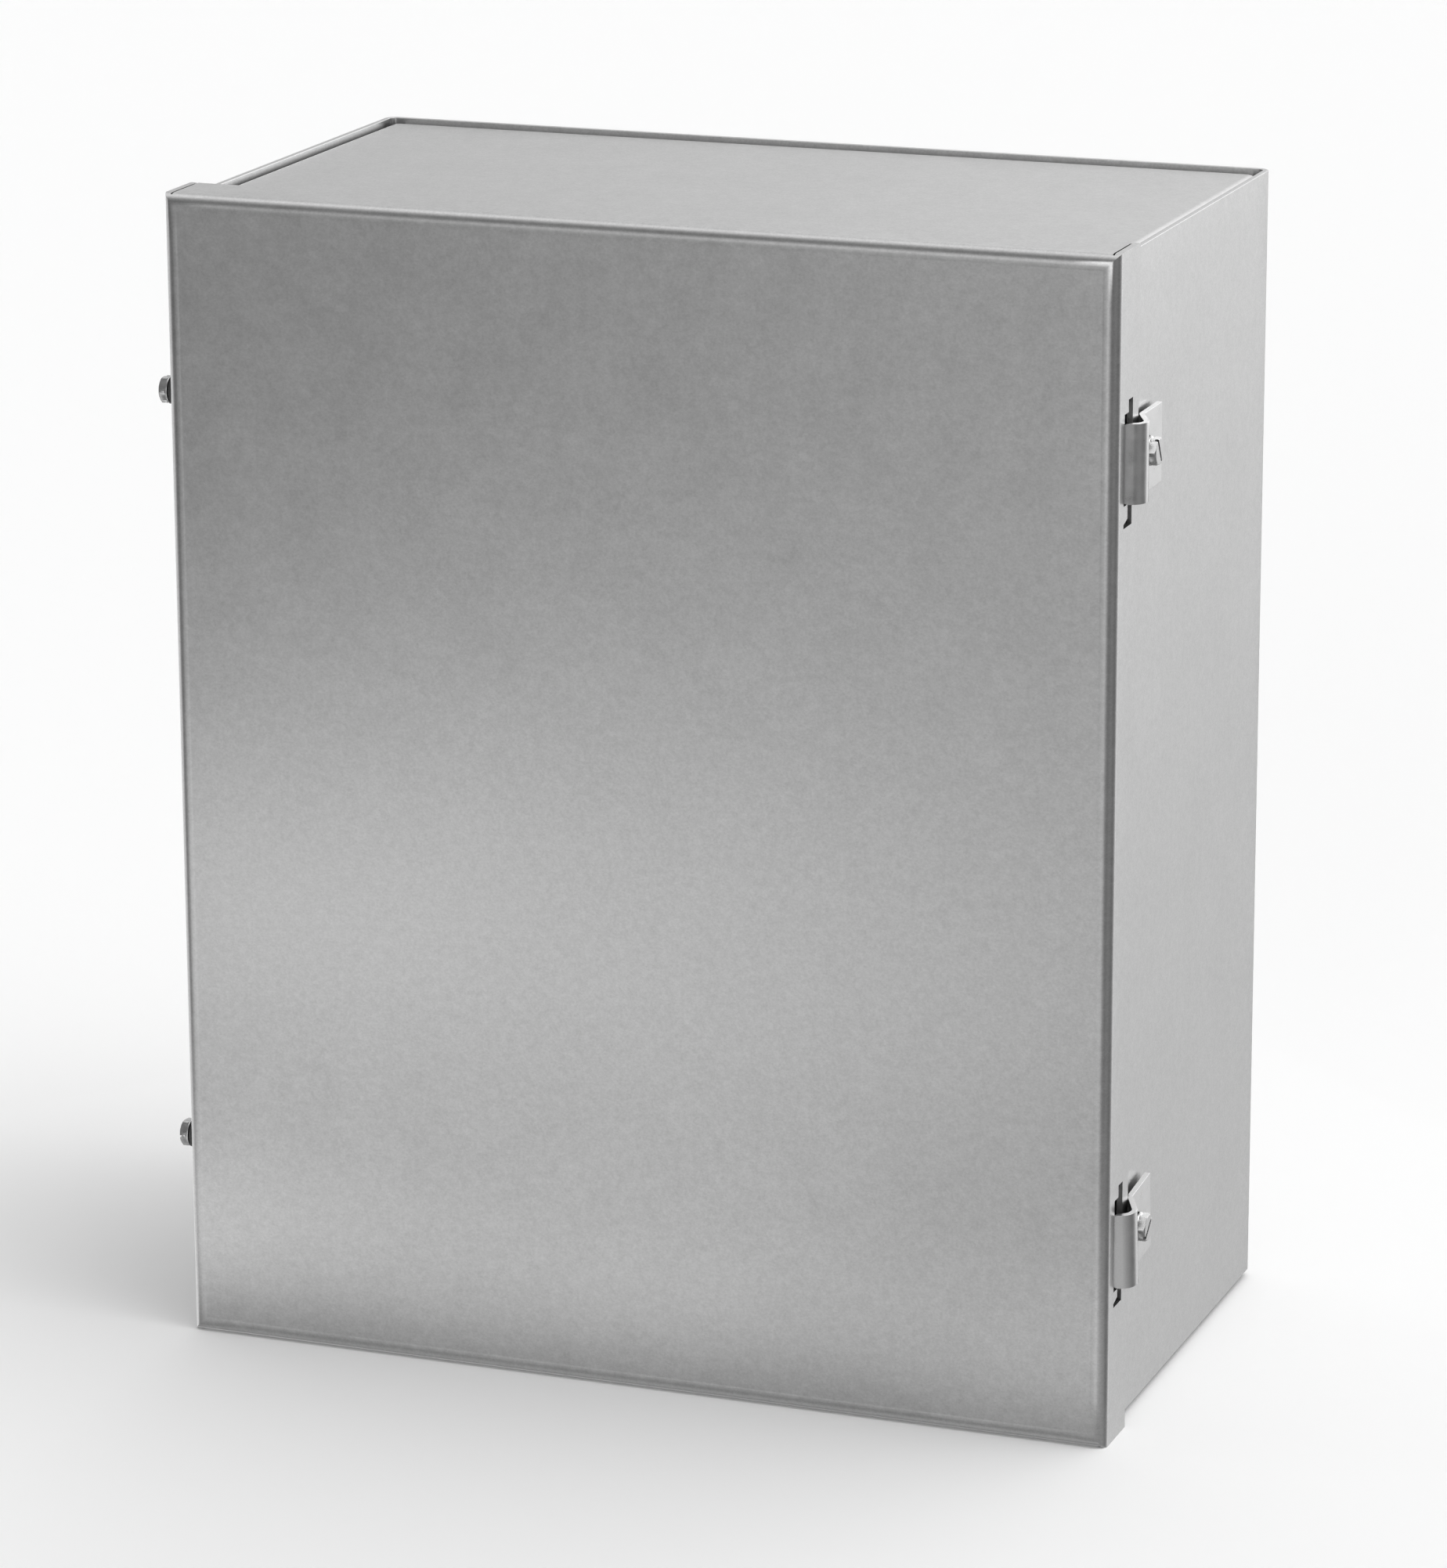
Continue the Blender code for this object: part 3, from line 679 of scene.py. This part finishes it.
# ---------------------------------------------------------------- materials

def math_node(tree, operation, *values):
    """A math node fed by numbers and sockets."""
    node = tree.nodes.new("ShaderNodeMath")
    node.operation = operation
    for socket, value in zip(node.inputs, values):
        if isinstance(value, (int, float)):
            socket.default_value = value
        else:
            tree.links.new(value, socket)
    return node.outputs["Value"]


class Nodes:
    """Short hand for building a node material."""

    def __init__(self, name):
        self.material = bpy.data.materials.new(name)
        self.material.use_nodes = True
        self.tree = self.material.node_tree
        self.shader = self.tree.nodes["Principled BSDF"]

    def add(self, kind, **values):
        """Add a node; each value sets the input of that name or else the attribute."""
        node = self.tree.nodes.new(kind)
        for key, value in values.items():
            if key in node.inputs:
                node.inputs[key].default_value = value
            else:
                setattr(node, key, value)
        return node

    def link(self, source, target):
        self.tree.links.new(source, target)

    def coordinates(self, scale):
        """The piece's own coordinates, scaled along each axis."""
        place = self.add("ShaderNodeTexCoord")
        mapping = self.add("ShaderNodeMapping")
        mapping.inputs["Scale"].default_value = scale
        self.link(place.outputs["Object"], mapping.inputs["Vector"])
        return mapping.outputs["Vector"]

    def noise(self, scale, detail=4.0, stretch=(1, 1, 1), roughness=0.55):
        """Noise between about 0.3 and 0.7."""
        node = self.add("ShaderNodeTexNoise", Scale=scale, Detail=detail, Roughness=roughness)
        self.link(self.coordinates(stretch), node.inputs["Vector"])
        return node.outputs["Fac"]

    def spread(self, source, low, high, from_low=0.3, from_high=0.7):
        """A value stretched from one range to another, and kept inside it."""
        node = self.add("ShaderNodeMapRange", clamp=True)
        node.inputs["From Min"].default_value = from_low
        node.inputs["From Max"].default_value = from_high
        node.inputs["To Min"].default_value = low
        node.inputs["To Max"].default_value = high
        self.link(source, node.inputs["Value"])
        return node.outputs["Result"]

    def math(self, operation, *values):
        return math_node(self.tree, operation, *values)

    def blend(self, factor, tone, darker, lighter):
        """A tone made darker where the factor is 0 and lighter where it is 1."""
        node = self.add("ShaderNodeMix", data_type="RGBA")
        for socket, change in ((MIX_FIRST, darker), (MIX_SECOND, lighter)):
            colour = [min(1.0, channel * change) for channel in tone]
            node.inputs[socket].default_value = (*colour, 1.0)
        self.link(factor, node.inputs[0])
        return node.outputs[MIX_RESULT]

    def gap_shade(self, reach, darkest):
        """Painted shade: 1 on open faces, falling to the darkest value inside slots and gaps."""
        node = self.add("ShaderNodeAmbientOcclusion", samples=8, Distance=reach)
        return self.spread(node.outputs["AO"], darkest, 1.0, 0.15, 0.75)

    def tint(self, colour, factor):
        """A colour multiplied by a grey factor."""
        node = self.add("ShaderNodeMix", data_type="RGBA", blend_type="MULTIPLY")
        node.inputs[0].default_value = 1.0
        self.link(colour, node.inputs[MIX_FIRST])
        self.link(factor, node.inputs[MIX_SECOND])
        return node.outputs[MIX_RESULT]

    def bump(self, height, strength, distance):
        """Let a height texture tilt the shader's normals."""
        node = self.add("ShaderNodeBump", Strength=strength, Distance=distance)
        self.link(height, node.inputs["Height"])
        self.link(node.outputs["Normal"], self.shader.inputs["Normal"])


def sheet_material(name, tone, roughness, blotch=0.17):
    """Mill-finish zinc-coated sheet: a fine even grain over faint hand-sized clouds."""
    n = Nodes(name)
    n.shader.inputs["Metallic"].default_value = 1.0
    fine = n.noise(1.0, 2.0, (1500, 1500, 1900), 0.7)
    grain = n.noise(380.0, 3.0, (1, 1, 1.2), 0.7)
    mottle = n.noise(60.0, 4.0, (1, 1, 1), 0.7)
    cloud = n.noise(7.0, 3.0, (1, 1, 0.6), 0.5)
    layers, reach = 0.0, 0.0
    for layer, share in ((fine, 1.0), (grain, 0.7), (mottle, 0.3), (cloud, 0.25)):
        layers = n.math("ADD", layers, n.spread(layer, -share, share))
        reach += share
    colour = n.blend(n.spread(layers, 0.0, 1.0, -reach, reach), tone, 1 - blotch, 1 + blotch)
    # Painted shade: the sheet's colour darkens inside slots, gaps and recesses
    colour = n.tint(colour, n.gap_shade(PAINTED_SHADE_REACH, PAINTED_SHADE_DARKEST))
    n.link(colour, n.shader.inputs["Base Color"])
    dull = n.math("ADD", n.spread(mottle, -0.012, 0.012), n.spread(grain, -0.012, 0.012))
    n.link(n.math("ADD", dull, roughness), n.shader.inputs["Roughness"])
    n.bump(n.math("ADD", n.spread(fine, 0, 1), n.spread(grain, 0, 1)), 0.08, 0.00002)
    return n.material


def zinc_material(name, tone, roughness, speckle=0.05):
    """Zinc-plated small part: fine tumbled speckle and slight roughness changes."""
    n = Nodes(name)
    n.shader.inputs["Metallic"].default_value = 1.0
    fine = n.noise(2600.0, 3.0)
    patch = n.noise(320.0, 4.0)
    factor = n.spread(n.math("ADD", fine, patch), 0.0, 1.0, 0.7, 1.3)
    colour = n.blend(factor, tone, 1 - speckle, 1 + speckle)
    # Painted shade: the part's colour darkens inside slots, gaps and recesses
    colour = n.tint(colour, n.gap_shade(PAINTED_SHADE_REACH, FASTENER_PAINTED_SHADE_DARKEST))
    n.link(colour, n.shader.inputs["Base Color"])
    n.link(n.spread(patch, roughness - 0.06, roughness + 0.08), n.shader.inputs["Roughness"])
    n.bump(fine, 0.25, 0.00003)
    return n.material


def rubber_material(name, tone, grain):
    """Matte rubber with a fine grain and a little bloom."""
    n = Nodes(name)
    fine = n.noise(grain, 4.0)
    bloom = n.noise(90.0, 3.0)
    colour = n.blend(n.spread(bloom, 0, 1), tone, 0.8, 1.35)
    n.link(colour, n.shader.inputs["Base Color"])
    n.link(n.spread(fine, 0.62, 0.82), n.shader.inputs["Roughness"])
    n.shader.inputs["Specular IOR Level"].default_value = 0.35
    n.bump(fine, 0.4, 0.00008)
    return n.material


def grey(level):
    """A neutral tone."""
    return (level, level, level)


def make_materials():
    """Every material of the object, by record slot."""
    recipes = {
        "galvanised_sheet": (sheet_material, grey(0.605), 0.32),
        "plate_sheet": (sheet_material, grey(0.665), 0.40, 0.2),
        "zinc_plate": (zinc_material, grey(0.705), 0.32),
        "zinc_screw": (zinc_material, grey(0.62), 0.28),
        "steel_nut": (zinc_material, grey(0.555), 0.36, 0.08),
        "brass": (zinc_material, (0.72, 0.54, 0.26), 0.28, 0.08),
        "rubber": (rubber_material, grey(0.05), 2400.0),
        "gasket_rubber": (rubber_material, grey(0.04), 1500.0),
    }
    return {slot: make(slot, *values) for slot, (make, *values) in recipes.items()}


MATERIALS = make_materials()
BODY_OF = {
    node: body for body, nodes in frame["record"]["behaviour"]["bodies"].items() for node in nodes}
SLOT_OF = {entry["node"]: entry["material_slot"] for entry in frame["record"]["subparts"]}


def stand_for(piece, node):
    """Let a piece take its CAD node's place, body, slot and material."""
    even_shading(piece)
    piece.data.materials.clear()
    piece.data.materials.append(MATERIALS[SLOT_OF[node]])
    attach(piece, BODY_OF[node])
    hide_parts(node)


# ---------------------------------------------------------------- the cabinet's pieces

def make_cover():
    """The cover: folded pan with its die marks, corner seams, hook slots and open slots."""
    size = COVER_HIGH - COVER_LOW
    centre = (COVER_LOW + COVER_HIGH) / 2

    def place(u, v, depth):
        return (centre.x + u, COVER_LOW.y + depth, centre.z + v)

    cover = make_pan(
        "cover_sheet", (size.x, size.z), size.y, COVER_RADIUS, place, True, 3.0, COVER_GRID)
    rear = COVER_HIGH.y + SHEET
    for side in (-1, 1):
        seam = centre.x + side * (size.x / 2 - SHEET - SEAM_WIDTH)
        for low_z in (COVER_LOW.z - SHEET, COVER_HIGH.z - SHEET - SEAM_GAP):
            cut(cover, box_mesh(
                (seam - SEAM_WIDTH / 2, FRONT_Y + SEAM_START, low_z),
                (seam + SEAM_WIDTH / 2, rear, low_z + 2 * SHEET + SEAM_GAP)))
    for level, height in SCREW_Z.items():
        cut(cover, hook_slot_mesh(level))
        cut(cover, box_mesh(
            (COVER_LOW.x - SHEET, RETAINING_SCREW_Y - OPEN_SLOT_HALF, height - OPEN_SLOT_HALF),
            (COVER_LOW.x + 2 * SHEET, rear, height + OPEN_SLOT_HALF)))
    round_edges(cover, PAN_EDGE)
    stand_for(cover, "cover")


def hook_slot_mesh(level):
    """Cutter for one hook slot: upright slot, wider at the hook, with a tail at its foot."""
    height = SCREW_Z[level]
    low, high = height - SLOT_HALF_HEIGHT, height + SLOT_HALF_HEIGHT
    notch_low, notch_high = height - NOTCH_DROP[level], height + NOTCH_RISE
    outline = [
        (SLOT_REAR, low), (SLOT_REAR, high), (SLOT_FRONT, high), (SLOT_FRONT, notch_high),
        (NOTCH_FRONT, notch_high), (NOTCH_FRONT, notch_low), (SLOT_FRONT, notch_low),
        (SLOT_FRONT, low + 2 * TAIL_HEIGHT), (NOTCH_FRONT, low + TAIL_HEIGHT), (NOTCH_FRONT, low)]
    return prism_mesh(
        outline, lambda depth, z, x: (x, FRONT_Y + depth, z),
        COVER_HIGH.x - 2 * SHEET, COVER_HIGH.x + SHEET)


def make_body_wrap():
    """Left wall, back and right wall from one sheet with a lip at the front."""
    half = SHEET / 2
    side = WRAP_HIGH.x - half
    front = WRAP_LOW.y + half
    back = WRAP_HIGH.y - half
    lip = WRAP_HIGH.x - WALL_LIP
    path = [(-lip, front), (-side, front), (-side, back), (side, back), (side, front), (lip, front)]
    low_z, high_z = WRAP_LOW.z, WRAP_HIGH.z

    def sink(point, z):
        x, y = point
        fade_z = soften(min(z - low_z, high_z - z) / WAVE_FADE)
        if y > back - half - MM:
            fade = soften((side - abs(x)) / WAVE_FADE) * fade_z
            return (x, y - WAVE_HEIGHT * fade * wave((x, 0.0, z), 5.0))
        fade = soften(min(y - front, back - y) / WAVE_FADE) * fade_z
        shift = WAVE_HEIGHT * fade * wave((0.0, y, z), 7.0 + math.copysign(1, x))
        return (x - math.copysign(shift, x), y)

    wrap = make_strip(
        "body_wrap_sheet", path, [BODY_RADIUS - half] * 4, SHEET, low_z, high_z,
        WRAP_SPACING, WRAP_ROWS, sink)
    through = Vector((5 * MM, 0, 0))
    for height in SCREW_Z.values():
        spot = Vector((side, CLAMP_SCREW_Y, height))
        cut(wrap, rod_mesh(RIVET_HOLE_RADIUS, spot - through, spot + through))
        spot = Vector((-side, RETAINING_SCREW_Y, height))
        cut(wrap, rod_mesh(RETAINING_HOLE_RADIUS, spot - through, spot + through))
        cut(wrap, pocket_mesh(height))
    for x in (-WALL_HOLE_REACH, WALL_HOLE_REACH):
        for z in WALL_HOLE_LEVELS:
            cut(wrap, rod_mesh(
                WALL_HOLE_RADIUS, (x, back - 5 * MM, z), (x, back + 5 * MM, z)))
    round_edges(wrap, WRAP_EDGE)
    stand_for(wrap, "body_wrap")


def pocket_mesh(height):
    """Cutter for the shallow upright pocket with a round top behind a clamp's top edge."""
    middle_y = FRONT_Y + POCKET_DEPTH
    round_z = height + POCKET_RISE - POCKET_RADIUS
    low_z = height + POCKET_RISE - POCKET_LENGTH
    outline = arc((middle_y, round_z), POCKET_RADIUS, 0.0, math.pi)
    outline += [(middle_y - POCKET_RADIUS, low_z), (middle_y + POCKET_RADIUS, low_z)]
    return prism_mesh(
        outline, lambda y, z, x: (x, y, z), WRAP_HIGH.x - POCKET_SINK, WRAP_HIGH.x + 2 * MM)


def make_end_panel(node, top):
    """Top or bottom panel: a pan lying between the walls."""
    low, high = (Vector(corner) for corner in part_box(node))
    size = high - low
    centre = (low + high) / 2

    def place(u, v, depth):
        level = high.z - depth if top else low.z + depth
        return (centre.x + u, centre.y + v, level)

    panel = make_pan(
        f"{node}_sheet", (size.x, size.y), size.z, BODY_RADIUS, place, False,
        11.0 if top else 13.0, PANEL_GRID)
    lip = WRAP_HIGH.x - WALL_LIP - LIP_GAP
    lip_rear = low.y + BODY_RADIUS + LIP_GAP
    for side in (-1, 1):
        outer = side * (high.x + MM)
        ends = sorted((side * lip, outer))
        cut(panel, box_mesh(
            (ends[0], FRONT_Y, low.z - MM), (ends[1], lip_rear, high.z + MM)))
        ends = sorted((side * (high.x - PANEL_NOTCH), outer))
        cut(panel, box_mesh(
            (ends[0], high.y - PANEL_NOTCH, low.z - MM), (ends[1], high.y + MM, high.z + MM)))
    round_edges(panel, PAN_EDGE)
    stand_for(panel, node)


def make_gasket():
    """Rubber gasket: a strip with rounded edges and mitred corners."""
    low, high = (Vector(corner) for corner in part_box("cover_gasket"))
    centre = (low + high) / 2
    half = (high - low) / 2
    section = rounded_section(GASKET_WIDTH, high.y - low.y, GASKET_SOFT)
    corners = ((-1, -1), (1, -1), (1, 1), (-1, 1))
    loops = []
    bm = bmesh.new()
    for start, end in zip(corners, corners[1:] + corners[:1]):
        for step in range(GASKET_STEPS):
            share = step / GASKET_STEPS
            across = start[0] + (end[0] - start[0]) * share
            up = start[1] + (end[1] - start[1]) * share
            loops.append([
                bm.verts.new((
                    centre.x + across * (half.x - inset), low.y + depth,
                    centre.z + up * (half.z - inset)))
                for inset, depth in section])
    for loop, following in zip(loops, loops[1:] + loops[:1]):
        band_faces(bm, loop, following)
    stand_for(finish_mesh("gasket_strip", bm, 50.0), "cover_gasket")


def make_hook_clamp(level):
    """One hook clamp: plate, nose and hook with a slotted hole, set at its turn on its screw."""
    node = f"hook_clamp_{level}"
    low, high = (Vector(corner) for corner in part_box(node))
    half = CLAMP_SHEET / 2
    hook_y = FRONT_Y + HOOK_DEPTH + half
    nose_x = high.x - half
    plate_x = COVER_HIGH.x + CLAMP_PROUD - half
    path = [
        (low.x, hook_y), (nose_x, hook_y + HOOK_SLANT), (nose_x, FRONT_Y + NOSE_END),
        (plate_x, FRONT_Y + PLATE_START), (plate_x, high.y)]
    clamp = make_strip(
        f"clamp_{level}", path, (NOSE_BEND, CLAMP_BEND, CLAMP_BEND), CLAMP_SHEET,
        low.z, high.z, CLAMP_SPACING, CLAMP_ROWS)
    height = SCREW_Z[level]
    reach = CLAMP_SLOT_HALF - CLAMP_SLOT_RADIUS
    outline = arc((CLAMP_SCREW_Y, height + reach), CLAMP_SLOT_RADIUS, 0.0, math.pi)
    outline += arc((CLAMP_SCREW_Y, height - reach), CLAMP_SLOT_RADIUS, math.pi, math.pi)
    cut(clamp, prism_mesh(
        outline, lambda y, z, x: (x, y, z), plate_x - 3 * MM, plate_x + 3 * MM))
    for sign in (-1, 1):
        cut(clamp, hook_corner_mesh(low.x, height, sign))
    round_edges(clamp, CLAMP_EDGE, 2)
    pivot = Matrix.Translation((plate_x, CLAMP_SCREW_Y, height))
    turn = Matrix.Rotation(math.radians(CLAMP_TURN[level]), 4, "X")
    clamp.data.transform(pivot @ turn @ pivot.inverted())
    stand_for(clamp, node)


def hook_corner_mesh(tip_x, height, sign):
    """Cutter that rounds the hook tip's upper or lower corner."""
    end_z = height + sign * CLAMP_HALF_HEIGHT
    centre = (tip_x + HOOK_CORNER, end_z - sign * HOOK_CORNER)
    outline = [(tip_x - MM, end_z + sign * MM), (tip_x - MM, centre[1])]
    outline += arc(centre, HOOK_CORNER, math.pi, -sign * math.pi / 2, 8)
    outline.append((centre[0], end_z + sign * MM))
    front = FRONT_Y + HOOK_DEPTH
    return prism_mesh(outline, lambda x, z, y: (x, y, z), front - MM, front + CLAMP_SHEET + MM)


def make_equipment_plate():
    """The equipment plate with rounded corners, its stud holes and its rail holes."""
    low, high = (Vector(corner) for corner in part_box("equipment_plate"))
    outline = rounded_section(high.x - low.x, high.z - low.z, PLATE_CORNER, 8)
    plate = finish_mesh("equipment_sheet", prism_mesh(
        outline, lambda x, z, y: (low.x + x, y, low.z + z), low.y, high.y))
    for row in LEVELS:
        for side in ("left", "right"):
            stud = middle(f"plate_stud_{row}_{side}")
            drill(plate, stud.x, stud.z, PLATE_HOLE_RADIUS)
    centre = middle("equipment_plate")
    for across in (-1, 1):
        for up in (-1, 1):
            drill(
                plate, centre.x + across * RAIL_HOLE_REACH, centre.z + up * RAIL_HOLE_REACH,
                RAIL_HOLE_RADIUS)
    round_edges(plate, PLATE_EDGE, 2)
    stand_for(plate, "equipment_plate")


def drill(plate, x, z, radius):
    """Drill a hole front to back through an upright plate."""
    depth = 200 * MM
    cut(plate, rod_mesh(radius, (x, -depth, z), (x, depth, z)))


def make_rivet_nut(level):
    """Rivet nut: a thin flange outside the wall, a barrel inside with a threaded bore."""
    node = f"rivet_nut_{level}"
    axis = (1, 0, 0)
    base, span, radius = axis_span(node, axis)
    soft = 0.12 * MM
    shoulder = span - RIVET_FLANGE
    rings = [
        (M4_BORE + 0.2 * MM, 0.0), (RIVET_BARREL - 0.2 * MM, 0.0), (RIVET_BARREL, 0.2 * MM),
        (RIVET_BARREL, shoulder), (radius - soft, shoulder), (radius, shoulder + soft),
        (radius, span - soft), (radius - soft, span), (M4_BORE + 0.25 * MM, span)]
    rings += bore_rings(M4_BORE, 0.18 * MM, span - RIVET_LEAD, RIVET_LEAD, 26)
    nut = finish_mesh(f"rivet_{level}", turned_mesh(rings, axis, base, 48, False), 30.0)
    stand_for(nut, node)


def make_fasteners():
    """Every clamp, screw, washer, nut and stud."""
    for level in LEVELS:
        make_screw(
            f"screw_clamp_{level}", f"clamp_screw_{level}", (1, 0, 0), CLAMP_THREAD,
            CLAMP_HEAD_TURN[level])
        make_screw(
            f"screw_retaining_{level}", f"retaining_screw_{level}", (-1, 0, 0), RETAINING_THREAD,
            RETAINING_HEAD_TURN[level])
        make_ring(f"seal_{level}", f"sealing_washer_{level}", (1, 0, 0), M4_BORE, SEAL_SOFT)
        make_nut(f"weld_{level}", f"weld_nut_{level}", (1, 0, 0), WELD_FLATS, WELD_BORE)
        make_rivet_nut(level)
        make_hook_clamp(level)
    forward = (0, -1, 0)
    for row in LEVELS:
        for side in ("left", "right"):
            spot = f"{row}_{side}"
            make_stud(f"stud_{spot}", f"plate_stud_{spot}", forward, PLATE_COLLAR)
            make_ring(
                f"washer_{spot}", f"plate_washer_{spot}", forward, M6_WASHER_BORE,
                PLATE_WASHER_SOFT)
            make_nut(f"nut_{spot}", f"plate_nut_{spot}", forward, M6_FLATS, M6_BORE)
    for body, axis in (("body", forward), ("cover", (0, 1, 0))):
        make_stud(f"earth_stud_{body}", f"{body}_earth_stud", axis, SHEET)
        make_ring(
            f"earth_washer_{body}", f"{body}_earth_washer", axis, M6_WASHER_BORE,
            EARTH_WASHER_SOFT, True)
        make_nut(f"earth_nut_{body}", f"{body}_earth_nut", axis, M6_FLATS, M6_BORE)


# ---------------------------------------------------------------- room, lights and camera

def make_room():
    """A pale round floor that curves up far away on every side."""
    floor_z = cad_bounds[0][2]
    bm = bmesh.new()
    loops = []
    for radius, rise in arc((ROOM_REACH, ROOM_RISE), ROOM_RISE, -math.pi / 2, math.pi / 2, 12):
        angles = [2 * math.pi * side / ROOM_SIDES for side in range(ROOM_SIDES)]
        loops.append([
            bm.verts.new((radius * math.cos(angle), radius * math.sin(angle), floor_z + rise))
            for angle in angles])
    bm.faces.new(loops[0])
    for inner, outer in zip(loops, loops[1:]):
        band_faces(bm, inner, outer)
    floor = finish_mesh("floor", bm, 60.0)
    n = Nodes("floor_paint")
    n.shader.inputs["Base Color"].default_value = (0.92, 0.92, 0.92, 1.0)
    n.shader.inputs["Roughness"].default_value = 0.9
    n.shader.inputs["Specular IOR Level"].default_value = 0.1
    floor.data.materials.append(n.material)
    floor.visible_glossy = False
    floor.visible_shadow = False


def direction(azimuth, elevation):
    """Unit vector at an azimuth, counted from the front towards the right, and an elevation."""
    azimuth, elevation = math.radians(azimuth), math.radians(elevation)
    return (
        math.sin(azimuth) * math.cos(elevation),
        -math.cos(azimuth) * math.cos(elevation),
        math.sin(elevation))


def make_world():
    """The studio: a dim room with soft bright cards round the object."""
    world = bpy.data.worlds.new("studio")
    bpy.context.scene.world = world
    world.use_nodes = True
    tree = world.node_tree
    place = tree.nodes.new("ShaderNodeTexCoord")
    total = ROOM_LIGHT
    for azimuth, elevation, tightness, strength in CARDS:
        dot = tree.nodes.new("ShaderNodeVectorMath")
        dot.operation = "DOT_PRODUCT"
        dot.inputs[1].default_value = direction(azimuth, elevation)
        tree.links.new(place.outputs["Generated"], dot.inputs[0])
        power = math_node(tree, "MULTIPLY_ADD", dot.outputs["Value"], tightness, -tightness)
        card = math_node(tree, "EXPONENT", power)
        total = math_node(tree, "MULTIPLY_ADD", card, strength, total)
    tree.links.new(total, tree.nodes["Background"].inputs["Color"])


def make_reflector():
    """A sheet just under the floor whose soft glows show only in the object's reflections."""
    bm = bmesh.new()
    bmesh.ops.create_grid(bm, x_segments=1, y_segments=1, size=REFLECTOR_REACH)
    reflector = finish_mesh("reflector", bm)
    reflector.location = (0.0, 0.0, REFLECTOR_LEVEL)
    n = Nodes("reflector_glow")
    spot = n.add("ShaderNodeTexCoord").outputs["Object"]
    total = 0.0
    for place, spread, strength in GLOWS:
        scaled = n.add("ShaderNodeMapping")
        scaled.inputs["Location"].default_value = (
            -place[0] / spread[0], -place[1] / spread[1], 0.0)
        scaled.inputs["Scale"].default_value = (1 / spread[0], 1 / spread[1], 0.0)
        n.link(spot, scaled.inputs["Vector"])
        square = n.add("ShaderNodeVectorMath", operation="DOT_PRODUCT")
        n.link(scaled.outputs["Vector"], square.inputs[0])
        n.link(scaled.outputs["Vector"], square.inputs[1])
        fading = n.math("EXPONENT", n.math("MULTIPLY", square.outputs["Value"], -0.5))
        total = n.math("ADD", n.math("MULTIPLY", fading, strength), total)
    glow = n.add("ShaderNodeEmission")
    n.link(total, glow.inputs["Strength"])
    both = n.add("ShaderNodeAddShader")
    n.link(glow.outputs["Emission"], both.inputs[0])
    n.link(n.add("ShaderNodeBsdfTransparent").outputs["BSDF"], both.inputs[1])
    n.link(both.outputs["Shader"], n.tree.nodes["Material Output"].inputs["Surface"])
    n.tree.nodes.remove(n.shader)
    reflector.data.materials.append(n.material)
    reflector.visible_camera = False
    reflector.visible_diffuse = False
    reflector.visible_shadow = False


def make_camera():
    """The camera, looking at the aim point from its azimuth and elevation."""
    back = Vector(direction(CAMERA_AZIMUTH, CAMERA_ELEVATION))
    lens = bpy.data.cameras.new("camera")
    lens.sensor_fit = "VERTICAL"
    lens.sensor_height = 36.0
    lens.lens = CAMERA_LENS
    lens.clip_start = 0.01
    camera = bpy.data.objects.new("camera", lens)
    bpy.context.scene.collection.objects.link(camera)
    turn = (-back).to_track_quat("-Z", "Y").to_matrix().to_4x4()
    roll = Matrix.Rotation(math.radians(CAMERA_ROLL), 4, back)
    place = Matrix.Translation(Vector(CAMERA_AIM) + back * CAMERA_DISTANCE)
    camera.matrix_world = place @ roll @ turn
    bpy.context.scene.camera = camera


bpy.context.scene.view_settings.view_transform = "Standard"
make_camera()
make_room()
make_world()
make_reflector()
make_cover()
make_body_wrap()
make_end_panel("top_panel", True)
make_end_panel("bottom_panel", False)
make_gasket()
make_equipment_plate()
make_fasteners()
